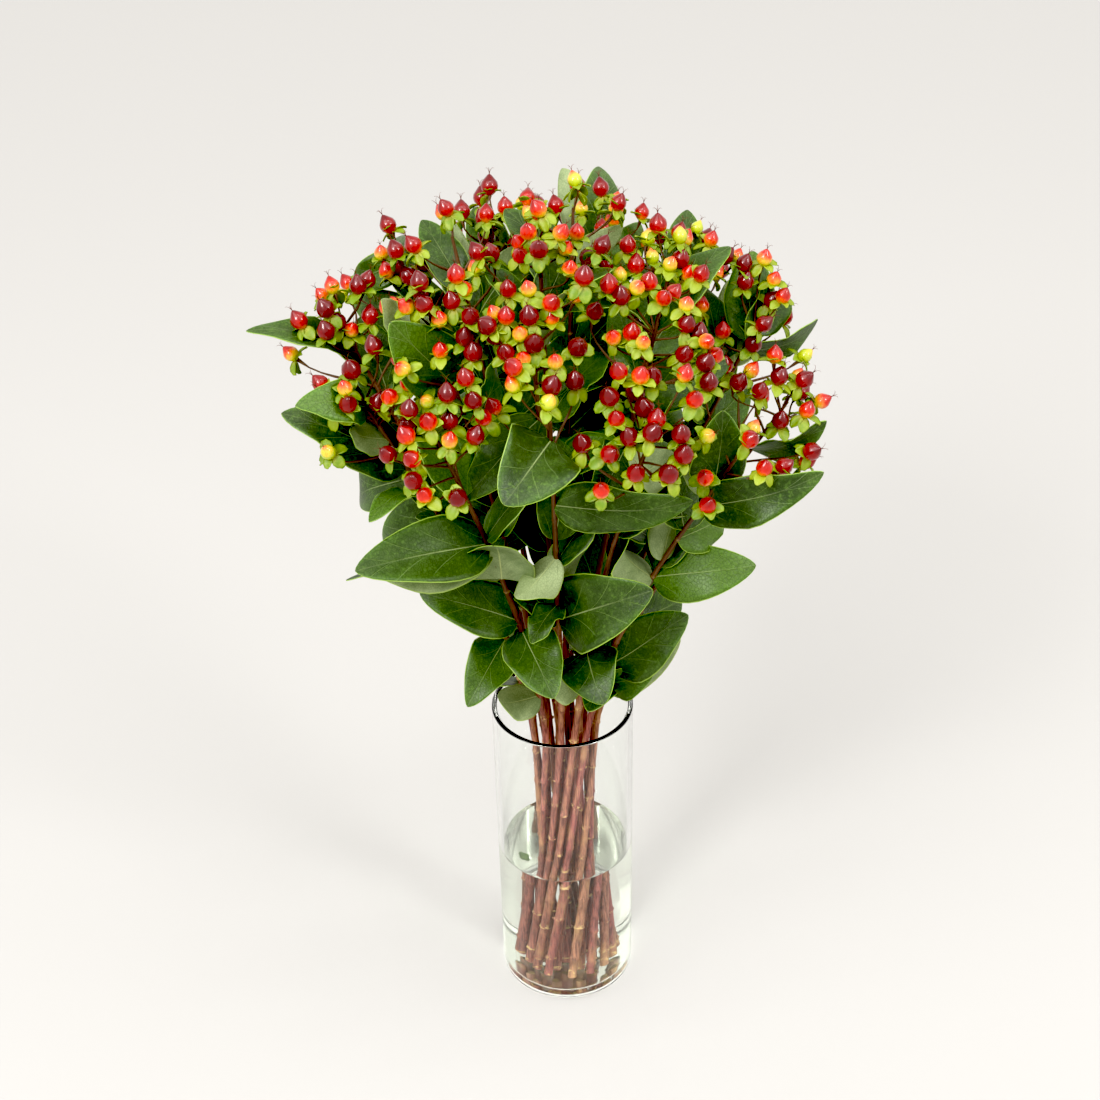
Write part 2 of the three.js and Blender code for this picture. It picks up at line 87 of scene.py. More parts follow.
RIGHT, ABOVE, FORWARD = view_axes()
lens = bpy.data.cameras.new("camera")
lens.sensor_fit = "HORIZONTAL"
lens.sensor_width = SENSOR
lens.lens = FOCAL / SHEET * SENSOR
camera = bpy.data.objects.new("camera", lens)
bpy.context.scene.collection.objects.link(camera)
turned = Matrix(np.column_stack([RIGHT, ABOVE, -FORWARD]).tolist()).to_4x4()
camera.matrix_world = Matrix.Translation(EYE.tolist()) @ turned
bpy.context.scene.camera = camera
print("camera: lens", round(lens.lens, 2), "mm")

# %% [markdown]
# ## Shader maths
#
# A finish is a small graph of nodes. Written out node by node it hides its own sense, so one class wraps a
# socket and lets the usual operators add the Math nodes: `1 - mask` reads as it works.

# %% Numbers in a shader
class Number:
    """A number that a finish works out at each point of the surface."""

    def __init__(self, finish, socket):
        self.finish = finish
        self.socket = socket

    def math(self, operation, *values):
        return self.finish.node("ShaderNodeMath", {"operation": operation}, *values)

    def __add__(self, other):
        return self.math("ADD", self, other)

    __radd__ = __add__

    def __sub__(self, other):
        return self.math("SUBTRACT", self, other)

    def __rsub__(self, other):
        return self.math("SUBTRACT", other, self)

    def __mul__(self, other):
        return self.math("MULTIPLY", self, other)

    __rmul__ = __mul__

    def __pow__(self, other):
        return self.math("POWER", self, other)

    def __abs__(self):
        return self.math("ABSOLUTE", self)

    def fraction(self):
        return self.math("FRACT", self)

    def between(self, low, high):
        """0 below the first limit, 1 above the second, and eased from one to the other."""
        settings = {"interpolation_type": "SMOOTHSTEP"}
        return self.finish.node("ShaderNodeMapRange", settings, self, low, high)


# %% Finishes
class Finish:
    """A material, with the nodes that drive its shader."""

    def __init__(self, name, **constants):
        self.material = bpy.data.materials.new(name)
        self.material.use_nodes = True
        self.tree = self.material.node_tree
        self.shader = self.tree.nodes["Principled BSDF"]
        for word, value in constants.items():
            socket = word.replace("_", " ").title().replace("Ior", "IOR")
            self.shader.inputs[socket].default_value = value

    def link(self, value, socket):
        if isinstance(value, Number):
            self.tree.links.new(value.socket, socket)
        else:
            socket.default_value = value

    def node(self, kind, settings, *values, output=0):
        """A node of any kind. Settings come first, because they decide which sockets it has."""
        made = self.tree.nodes.new(kind)
        for name, setting in settings.items():
            if name == "stops":
                for stop, (place, tone) in zip(self.stops(made, len(setting)), setting):
                    stop.position = place
                    stop.color = colour(*tone)
            else:
                setattr(made, name, setting)
        sockets = [socket for socket in made.inputs if socket.enabled]
        for value, socket in zip(values, sockets):
            if value is not None:
                self.link(value, socket)
        outputs = [socket for socket in made.outputs if socket.enabled]
        return Number(self, outputs[output])

    @staticmethod
    def stops(ramp, count):
        """The stops of a colour ramp, once it has as many as are wanted."""
        elements = ramp.color_ramp.elements
        while len(elements) < count:
            elements.new(1)
        return elements

    def drive(self, socket, value):
        self.link(value, self.shader.inputs[socket])

    def attribute(self, name):
        return self.node("ShaderNodeAttribute", {"attribute_name": name}, output=2)

    def places(self, scale=(1, 1, 1)):
        """Object coordinates, in metres, stretched by a scale."""
        coordinates = self.node("ShaderNodeTexCoord", {}, output=3)
        return self.node("ShaderNodeMapping", {}, coordinates, None, None, scale)

    def noise(self, place, scale, detail=2, roughness=0.5):
        settings = {"noise_dimensions": "3D"}
        return self.node("ShaderNodeTexNoise", settings, place, scale, detail, roughness)

    def net(self, place, scale, thin, thick):
        """The lines between small cells: 1 on a line and 0 inside a cell."""
        settings = {"feature": "DISTANCE_TO_EDGE"}
        return 1 - self.node("ShaderNodeTexVoronoi", settings, place, scale).between(thin, thick)

    def blend(self, mask, first, second):
        """One colour, and another where the mask is 1."""
        return self.node("ShaderNodeMix", {"data_type": "RGBA"}, mask, first, second)

    def coats(self, ground, *coats):
        """Lays one colour after another over a ground, each as far as its mask says."""
        for mask, tone in coats:
            ground = self.blend(mask, ground, colour(*tone))
        return ground

    def bump(self, height, strength, distance):
        return self.node("ShaderNodeBump", {}, strength, distance, None, height)


def colour(red, green, blue):
    """A colour given as a screen shows it, from 0 to 255, as the linear light that shaders use."""
    parts = [part / 255 for part in (red, green, blue)]
    linear = [part / 12.92 if part < 0.04045 else ((part + 0.055) / 1.055) ** 2.4 for part in parts]
    return (*linear, 1)


print("middle grey as light:", [round(part, 3) for part in colour(128, 128, 128)])

# %% [markdown]
# ## The stage
#
# A plain studio has a pale floor, even light from all round and a few brighter boxes. The camera looks down
# so steeply that the floor alone fills the background, and one wide plane is enough. Two wide, soft suns and
# a pale room give the even light, and three soft boxes put their small square highlights on the berries. One
# bright picture of a room could do both, but lamps can be moved and dimmed one at a time.

# %% Stage
FLOOR = dict(width=14, colour=(183, 181, 178), roughness=0.9)
ROOM = dict(colour=(1, 0.99, 0.97, 1), strength=1.12)
BOUNCES = dict(max_bounces=24, transmission_bounces=24, glossy_bounces=8)
BLACK = 0.05  # the light that still shows as black
CROWN_MIDDLE = (0, 0, 0.45)


def lay_floor():
    bpy.ops.object.select_all(action="DESELECT")
    bpy.ops.mesh.primitive_plane_add(size=FLOOR["width"], location=(0, 0, 0))
    floor = bpy.context.object
    floor.name = "floor"
    finish = Finish("pale_floor", base_color=colour(*FLOOR["colour"]), roughness=FLOOR["roughness"])
    floor.data.materials.append(finish.material)


def lamp(name, kind, place, energy):
    """A lamp that looks at the middle of the crown."""
    light = bpy.data.lights.new(name, kind)
    light.energy = energy
    thing = bpy.data.objects.new(name, light)
    bpy.context.scene.collection.objects.link(thing)
    thing.location = place
    ray = Vector(CROWN_MIDDLE) - Vector(place)
    thing.rotation_euler = ray.to_track_quat("-Z", "Y").to_euler()
    return light


def soft_box(name, place, width, height, energy):
    light = lamp(name, "AREA", place, energy)
    light.shape = "RECTANGLE"
    light.size = width
    light.size_y = height


def even_light(name, place, energy, softness):
    light = lamp(name, "SUN", place, energy)
    light.angle = math.radians(softness)


def pale_room():
    world = bpy.data.worlds.new("room")
    world.use_nodes = True
    background = world.node_tree.nodes["Background"].inputs
    background["Color"].default_value = ROOM["colour"]
    background["Strength"].default_value = ROOM["strength"]
    bpy.context.scene.world = world


lay_floor()
even_light("even_left", place=(-1.2, -1.4, 2.6), energy=1.3, softness=50)
even_light("even_right", place=(1.4, -0.6, 2.4), energy=0.75, softness=50)
soft_box("box_left", place=(-1.1, -1.5, 1.9), width=0.42, height=0.7, energy=27)
soft_box("box_right", place=(1.5, -1.1, 1.7), width=0.3, height=0.7, energy=15)
soft_box("box_front", place=(0.1, -0.35, 2.4), width=0.7, height=0.12, energy=4)
pale_room()
for kind, bounces in BOUNCES.items():
    setattr(bpy.context.scene.cycles, kind, bounces)
view = bpy.context.scene.view_settings
view.view_transform = "Standard"
view.use_curve_mapping = True
view.curve_mapping.black_level = (BLACK, BLACK, BLACK)
view.curve_mapping.update()
print("stage: one floor, two even lamps, three soft boxes and a pale room")

# %% [markdown]
# ## The layout of the bunch
#
# The bunch is a sheaf: stems stand straight from foot to neck, turned about the middle like a spiral
# bouquet, and spread out above. The same driving sizes as the model's give the same axes here.

# %% Driving sizes
VASE = dict(radius=50 * MM, height=250 * MM, wall=3.5 * MM, floor=8 * MM)
WATER_LEVEL = 122 * MM
FOOT = dict(height=8.8 * MM, spread=27 * MM, twist=78)
NECK = dict(height=244 * MM, spread=26.5 * MM)
CROWN = dict(reach=155 * MM, flare=1.35, bends=[0.3, 0.65, 1])
STEM = dict(foot=2.8 * MM, neck=2.4 * MM, top=1.2 * MM)
LEAF = dict(arch=0.1, root=1.2 * MM, tip=0.35 * MM, thickness=0.5 * MM)
OUTLINE = dict(early=0.68, full=0.62)
SEEDS = dict(heads=5, leaves=21, berries=4, sepals=9, wood=12)
STEM_TOPS = [
    # to the right, back and up, in mm
    (-136, 20, 543), (-116, -68, 536), (-68, -113, 530), (-4, -116, 542), (52, -116, 530),
    (104, -95, 503), (144, -18, 497), (133, 50, 520), (92, 102, 545), (32, 128, 562),
    (-38, 126, 566), (-100, 82, 560), (-72, -54, 578), (-14, -62, 583), (60, -52, 570),
    (74, 24, 574), (14, 66, 594), (-62, 40, 588), (-8, -2, 604),
]
STEMS = range(len(STEM_TOPS))
UP = np.array([0, 0, 1])


def rotated(direction, axis, degrees):
    """A direction turned about an axis of unit length."""
    angle = math.radians(degrees)
    along = axis * np.dot(axis, direction) * (1 - math.cos(angle))
    return direction * math.cos(angle) + np.cross(axis, direction) * math.sin(angle) + along


def between(low, high, part):
    return low + (high - low) * part


def stem_path(top):
    """The points of a stem's axis: its foot, its neck, and its bends up to its top."""
    top = np.array(top) * MM
    level = np.array([top[0], top[1], 0])
    foot = rotated(level * FOOT["spread"] / CROWN["reach"], UP, -FOOT["twist"])
    path = [foot + UP * FOOT["height"]]
    for rise in [0, *CROWN["bends"]]:
        spread = between(NECK["spread"] / CROWN["reach"], 1, rise ** CROWN["flare"])
        path.append(level * spread + UP * between(NECK["height"], top[2], rise))
    return path


PATHS = [stem_path(top) for top in STEM_TOPS]
print("stems:", len(PATHS), "from", round(PATHS[0][0][2], 4), "m up")

# %% [markdown]
# ## Where the leaves stand
#
# The leaves of the front are set by what the eye sees: the places of root and tip on the sheet, the true
# length, and which side faces the eye. The rest stand in pairs up the stems by rule, with seeded draws.
# The model bent some of them clear of their neighbours. Each bend puts the leaf's tip at another point, so
# the model's own vertices tell which bend it kept.

# %% Front leaves
# Roots and tips are dots of the sheet, across and down. Lengths and widths are in mm. The side is 1 where
# the upper face looks at the eye and -1 where the under face does, turned about the midrib by the turn, in
# degrees. The tip is nearer to the eye than the root where the last number is 1, and farther where it is -1.
FRONT_LEAVES = [
    # stem, root, tip, length, width, side, turn, nearer
    (0, (366, 372), (260, 324), 76, 28, 1, 60, 1),
    (1, (366, 408), (307, 402), 48, 26, 1, 20, 1),
    (1, (412, 462), (291, 415), 80, 35, 1, 15, 1),
    (1, (424, 470), (354, 497), 58, 32, 1, 15, -1),
    (1, (405, 508), (358, 517), 50, 24, 1, 68, 1),
    (0, (455, 505), (382, 546), 62, 36, 1, 5, -1),
    (2, (496, 540), (362, 571), 84, 40, 1, 10, 1),
    (2, (478, 560), (374, 573), 72, 30, -1, 50, -1),
    (1, (452, 581), (350, 583), 76, 26, 1, 72, 1),
    (12, (500, 566), (441, 566), 46, 26, -1, 25, -1),
    (2, (498, 580), (508, 534), 46, 42, -1, 0, 1),
    (2, (515, 622), (427, 594), 64, 35, 1, 10, 1),
    (2, (523, 630), (552, 695), 56, 37, 1, 0, 1),
    (1, (500, 640), (472, 698), 54, 32, 1, 5, 1),
    (2, (538, 696), (499, 703), 38, 26, -1, 20, 1),
    (3, (560, 668), (572, 703), 32, 24, -1, 10, 1),
    (3, (550, 620), (652, 591), 77, 45, 1, 0, 1),
    (3, (545, 605), (533, 640), 34, 20, 1, 30, 1),
    (3, (548, 558), (519, 596), 40, 26, -1, 25, 1),
    (5, (612, 668), (681, 611), 54, 34, 1, 10, 1),
    (6, (606, 690), (685, 628), 62, 36, -1, 10, 1),
    (4, (590, 652), (600, 697), 40, 40, 1, 5, 1),
    (5, (606, 684), (567, 714), 42, 24, 1, 20, 1),
    (5, (606, 684), (650, 674), 40, 24, 1, 30, 1),
    (5, (655, 578), (748, 567), 62, 36, 1, 0, 1),
    (5, (678, 540), (724, 515), 46, 28, 1, 15, -1),
    (5, (690, 500), (811, 482), 78, 31, 1, 10, 1),
    (5, (655, 556), (680, 512), 42, 22, -1, 35, 1),
    (3, (560, 505), (680, 508), 78, 30, 1, 15, 1),
    (5, (652, 578), (586, 560), 56, 30, -1, 25, 1),
    (3, (542, 592), (583, 545), 46, 26, -1, 30, 1),
    (14, (628, 450), (600, 496), 44, 34, 1, 0, 1),
    (4, (640, 480), (672, 455), 36, 27, -1, 0, -1),
    (5, (715, 490), (722, 415), 52, 32, 1, 10, 1),
    (6, (752, 450), (822, 427), 52, 24, 1, 58, 1),
    (5, (712, 495), (700, 440), 46, 24, -1, 15, 1),
    (7, (742, 350), (817, 326), 54, 24, 1, 62, -1),
    (16, (570, 430), (648, 352), 76, 46, 1, 0, -1),
    (9, (600, 238), (563, 171), 62, 31, -1, 5, -1),
    (9, (607, 250), (602, 168), 64, 31, 1, 15, -1),
    (8, (675, 300), (687, 213), 64, 28, 1, 10, -1),
    (8, (680, 290), (696, 231), 48, 22, -1, 5, -1),
    (9, (592, 280), (572, 217), 50, 26, 1, 10, -1),
    (16, (580, 290), (617, 228), 50, 24, -1, 40, -1),
    (7, (722, 395), (700, 281), 78, 28, 1, 25, -1),
    (7, (738, 368), (728, 272), 66, 30, -1, 0, -1),
    (7, (745, 340), (762, 269), 48, 20, 1, 55, -1),
    (7, (748, 335), (772, 281), 44, 22, 1, 15, -1),
    (15, (652, 354), (678, 297), 54, 31, 1, 15, -1),
    (16, (571, 362), (618, 308), 62, 42, 1, 5, -1),
    (18, (537, 308), (565, 253), 50, 25, 1, 15, -1),
    (9, (588, 327), (573, 272), 46, 22, 1, 40, -1),
    (18, (545, 395), (560, 340), 46, 24, 1, 25, -1),
    (3, (553, 440), (508, 499), 54, 44, 1, 0, 1),
    (13, (532, 420), (468, 495), 66, 30, 1, 10, 1),
    (11, (415, 300), (399, 232), 58, 28, 1, 5, -1),
    (17, (465, 290), (424, 224), 56, 24, 1, 5, -1),
    (17, (463, 280), (452, 228), 46, 20, -1, 5, -1),
    (17, (470, 318), (440, 244), 60, 24, 1, 25, -1),
    (17, (474, 330), (508, 254), 60, 26, -1, 5, -1),
    (12, (436, 345), (383, 303), 46, 22, -1, 25, 1),
    (12, (452, 385), (388, 320), 64, 40, 1, 0, 1),
    (1, (388, 440), (353, 432), 36, 20, -1, 25, 1),
    (12, (468, 425), (497, 365), 48, 24, 1, 45, -1),
]

# Leaves that close the gaps of the crown, in the same columns.
CLOSING_LEAVES = [
    (15, (640, 395), (720, 378), 58, 34, 1, 0, -1),
    (7, (697, 440), (746, 388), 52, 32, 1, 0, -1),
    (10, (514, 352), (458, 334), 50, 34, 1, 0, -1),
    (11, (480, 480), (418, 476), 54, 34, 1, 0, -1),
    (8, (607, 562), (662, 540), 50, 34, 1, 0, -1),
    (6, (634, 626), (680, 600), 46, 32, 1, 0, -1),
    (10, (503, 275), (476, 212), 56, 28, 1, 0, -1),
    (9, (594, 290), (642, 226), 56, 30, 1, 0, -1),
    (11, (428, 332), (362, 302), 58, 30, 1, 0, -1),
    (0, (386, 400), (350, 350), 50, 28, 1, 0, -1),
    (9, (577, 510), (610, 590), 60, 36, -1, 0, 1),
    (12, (503, 535), (455, 560), 50, 32, 1, 0, -1),
    (8, (668, 330), (640, 258), 56, 30, 1, 0, -1),
    (16, (572, 290), (530, 238), 50, 28, 1, 0, -1),
    (7, (728, 378), (697, 352), 40, 26, 1, 0, -1),
    (0, (412, 444), (386, 392), 50, 26, 1, 0, -1),
    (9, (571, 640), (590, 662), 40, 28, -1, 0, 1),
    (10, (544, 600), (506, 640), 44, 30, -1, 0, 1),
]

# Leaves deep between the heads, which the model leaves out, in the same columns.
DEEP_LEAVES = [
    (8, (655, 378), (704, 336), 50, 30, 1, 0, -1),
    (8, (636, 445), (684, 406), 48, 30, 1, 0, -1),
    (10, (531, 495), (468, 505), 46, 28, 1, 0, -1),
    (11, (440, 362), (470, 300), 54, 28, 1, 0, -1),
    (10, (516, 370), (492, 292), 60, 28, 1, 0, -1),
    (9, (572, 640), (612, 648), 36, 26, 1, 0, -1),
    (10, (507, 300), (462, 262), 46, 26, 1, 0, -1),
    (11, (462, 425), (452, 362), 50, 28, 1, 0, -1),
    (10, (524, 430), (500, 370), 50, 28, 1, 0, -1),
    (7, (748, 340), (752, 250), 64, 34, 1, 0, -1),
    (11, (400, 262), (352, 282), 40, 24, 1, 0, -1),
    (16, (569, 440), (612, 395), 50, 34, 1, 0, -1),
    (9, (582, 470), (620, 440), 46, 32, 1, 0, -1),
    (7, (752, 330), (790, 290), 44, 24, 1, 20, -1),
]

# %% The place of a front leaf
def leaf_place(root, along, normal, length, width):
    """A leaf's root, its directions along, across and out of the upper face, and its size."""
    across = unit(np.cross(normal, along))
    face = np.cross(along, across)
    return dict(root=root, along=along, across=across, face=face, length=length, width=width)


def sight(place):
    """The direction from the eye through a place of the sheet."""
    right = (place[0] - SHEET / 2) / FOCAL
    above = (SHEET / 2 - place[1]) / FOCAL
    return unit(FORWARD + right * RIGHT + above * ABOVE)


def path_point_near(path, direction):
    """The point of a path above its neck that lies closest to a line of sight."""
    best = (math.inf, None)
    for start, end in zip(path[1:-1], path[2:]):
        run = end - start
        run_off = run - direction * np.dot(run, direction)
        start_off = (start - EYE) - direction * np.dot(start - EYE, direction)
        part = min(max(-np.dot(start_off, run_off) / np.dot(run_off, run_off), 0), 1)
        distance = np.linalg.norm(start_off + part * run_off)
        if distance < best[0]:
            best = (distance, start + part * run)
    return best[1]


def front_leaf(stem, root_place, tip_place, length, width, side, turn, nearer):
    """The leaf of the stem whose root and tip the eye sees at two places of the sheet."""
    root = path_point_near(PATHS[stem], sight(root_place))
    direction = sight(tip_place)
    depth = np.dot(root - EYE, direction)
    off = EYE + direction * depth - root
    back = math.sqrt(max((length * MM) ** 2 - np.dot(off, off), 0))
    along = unit(EYE + direction * (depth - nearer * back) - root)
    normal = rotated(unit(EYE - root) * side, along, turn)
    return leaf_place(root, along, normal, length * MM, width * MM)


print("front leaves:", len(FRONT_LEAVES) + len(CLOSING_LEAVES), "and", len(DEEP_LEAVES), "deep ones")

# %% Paired leaves
PAIRS = dict(lowest=266 * MM, spacing=42 * MM, shift=0.5, below=46 * MM, step=97, quarter=90, drift=30)
COVER = dict(height=400 * MM, forward=-0.3)
SHOULDER = dict(height=300 * MM, radius=92 * MM, slope=0.45)
SPRAY = dict(seed=7, length=(56 * MM, 80 * MM), width=(0.48, 0.6), rise=(-8, 55), by_level=0.7)
DRAW = dict(factor=1664525, step=1013904223, range=2**32)
ROUNDING = 1e-6


def draws(seed):
    """The model's own small seeded draw of numbers from 0 to 1."""
    state = seed
    while True:
        state = (state * DRAW["factor"] + DRAW["step"]) % DRAW["range"]
        yield state / DRAW["range"]


def path_point_at(path, height):
    last = next(number for number, point in enumerate(path) if point[2] > height)
    low = path[last - 1]
    high = path[last]
    return between(low, high, (height - low[2]) / (high[2] - low[2]))


def standing_leaf(root, heading, rise, length, width):
    """A leaf whose upper face looks up, by its compass heading and its rise."""
    out = np.array([math.cos(heading), math.sin(heading), 0])
    along = out * math.cos(rise) + UP * math.sin(rise)
    normal = UP * math.cos(rise) - out * math.sin(rise)
    return leaf_place(root, along, normal, length, width)


def is_wanted(leaf, top):
    """Whether a leaf of the rule stands behind the front leaves and inside the bunch."""
    tip = leaf["root"] + leaf["along"] * leaf["length"]
    reach = SHOULDER["radius"] + SHOULDER["slope"] * (tip[2] - SHOULDER["height"])
    if leaf["root"][2] < COVER["height"]:
        is_behind = tip[1] > 0
    else:
        is_behind = leaf["along"][1] > COVER["forward"]
    return is_behind and tip[2] < top[2] and math.hypot(tip[0], tip[1]) < reach


def paired_leaves(stem, draw):
    """Two leaves at each level of a stem, each pair a quarter turn from the one below."""
    path = PATHS[stem]
    top = path[-1]
    levels = math.floor((top[2] - PAIRS["below"] - PAIRS["lowest"]) / PAIRS["spacing"] + ROUNDING)
    found = []
    for level in range(levels + 1):
        height = PAIRS["lowest"] + PAIRS["spacing"] * (level + PAIRS["shift"] * next(draw))
        root = path_point_at(path, height)
        for side in (0, 180):
            heading = PAIRS["step"] * stem + PAIRS["quarter"] * level + side + PAIRS["drift"] * next(draw)
            raised = between(next(draw), level / levels, SPRAY["by_level"])
            length = between(*SPRAY["length"], next(draw))
            width = length * between(*SPRAY["width"], next(draw))
            rise = math.radians(between(*SPRAY["rise"], raised))
            leaf = standing_leaf(root, math.radians(heading), rise, length, width)
            if is_wanted(leaf, top):
                found.append(leaf)
    return found


# %% Which bend the model kept
BEND_RAISES = (0, 8, -8, 16, -16, 26, -26)
BEND_SWINGS = (0, 9, -9, 18, -18, 27, -27)
BEND_SIZES = (1, 0.85, 0.7)
SAME_POINT = 0.02 * MM


def node_name(stem):
    return f"stem_{stem + 1:02d}"


def tree_of(node):
    """The vertices of a node's mesh, ready to be searched for a point."""
    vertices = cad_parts[node].data.vertices
    tree = KDTree(len(vertices))
    for vertex in vertices:
        tree.insert(vertex.co, vertex.index)
    tree.balance()
    return tree


TREES = [tree_of(node_name(stem)) for stem in STEMS]


def is_in_model(stem, point):
    return TREES[stem].find(point.tolist())[2] < SAME_POINT


def kept_leaf(stem, leaf):
    """The leaf as the model bent it, or None if the model left it out."""
    for size, lift, swing in product(BEND_SIZES, BEND_RAISES, BEND_SWINGS):
        raised = rotated(leaf["along"], leaf["across"], -lift)
        normal = rotated(leaf["face"], leaf["across"], -lift)
        along = rotated(raised, leaf["face"], swing)
        length = leaf["length"] * size
        if is_in_model(stem, leaf["root"] + along * length):
            return leaf_place(leaf["root"], along, normal, length, leaf["width"] * size)
    return None


def all_leaves():
    """The leaves of each stem, each with its row in the tables of the model's front leaves, or None."""
    found = [[] for _ in STEMS]
    for row, (stem, *entry) in enumerate(FRONT_LEAVES + CLOSING_LEAVES):
        leaf = kept_leaf(stem, front_leaf(stem, *entry))
        if leaf:
            found[stem].append(dict(leaf, row=row))
    for stem, *entry in DEEP_LEAVES:
        found[stem].append(dict(front_leaf(stem, *entry), row=None))
    draw = draws(SPRAY["seed"])
    for stem in STEMS:
        for candidate in paired_leaves(stem, draw):
            leaf = kept_leaf(stem, candidate)
            if leaf:
                found[stem].append(dict(leaf, row=None))
    return found


LEAVES = all_leaves()
fronts = sum(leaf["row"] is not None for stem in LEAVES for leaf in stem)
print("leaves:", sum(map(len, LEAVES)), "in all,", fronts, "of them set one by one in the model")

# %% [markdown]
# ## Where the model's berries hang
#
# A head is a terminal berry with three pairs of side branches below it, each pair square to the next. The
# model holds the branches that it could keep clear of the leaves, and its vertices tell again which they
# are. The real heads are fuller, and the two steps after this one fill them.

# %% The model's stalks
TERMINAL = dict(below=3 * MM, out=0, rise=16 * MM, forks=False)
HEAD_PAIRS = [
    dict(below=6 * MM, out=15 * MM, rise=13 * MM, forks=False),
    dict(below=26 * MM, out=27 * MM, rise=26 * MM, forks=True),
    dict(below=52 * MM, out=36 * MM, rise=40 * MM, forks=True),
]
HEAD = dict(step=50, quarter=90, lean=1.2)
BERRY = dict(radius=5.8 * MM, length=12.6 * MM, full_length=14.4 * MM)
STALK_SWINGS = (0, 12, -12, 24, -24, 36, -36)


def crossways(axis):
    """Two directions square to an axis that is nearly upright: to the right and to the back."""
    side = -unit(np.cross(np.array([0, -1, 0]), axis))
    return side, np.cross(axis, side)


def head_stalks(stem, swing):
    """The stalks of a head: the terminal one, then one to each side at each of the pairs below it."""
    top = PATHS[stem][-1]
    axis = unit(top - PATHS[stem][-2])
    right, back = crossways(axis)

    def stalk(heading, below, out, rise, forks):
        angle = math.radians(heading)
        side = right * math.cos(angle) + back * math.sin(angle)
        root = top - axis * below
        end = root + axis * rise + side * out
        lean = unit(unit(end - root) + axis * HEAD["lean"])
        return dict(root=root, end=end, axis=lean, stem_axis=axis, side=side, forks=forks)

    stalks = [stalk(0, **TERMINAL)]
    for level, pair in enumerate(HEAD_PAIRS):
        for side in (0, 180):
            heading = HEAD["step"] * stem + HEAD["quarter"] * level + side + swing
            stalks.append(stalk(heading, **pair))
    return stalks


def kept_stalks():
    """For each stem, the stalks that the model kept, at the swing that it gave them."""
    found = []
    for stem in STEMS:
        kept = {}
        for swing in STALK_SWINGS:
            for number, stalk in enumerate(head_stalks(stem, swing)):
                tip = stalk["end"] + stalk["axis"] * BERRY["length"]
                if number not in kept and is_in_model(stem, tip):
                    kept[number] = stalk
        found.append(kept)
    return found


def middle_of(stalk):
    """The middle of the berry that a stalk carries."""
    return stalk["end"] + stalk["axis"] * BERRY["length"] / 2


KEPT_STALKS = kept_stalks()
MODEL_MIDDLES = [middle_of(stalk) for stalks in KEPT_STALKS for stalk in stalks.values()]
print("berries of the model:", len(MODEL_MIDDLES))
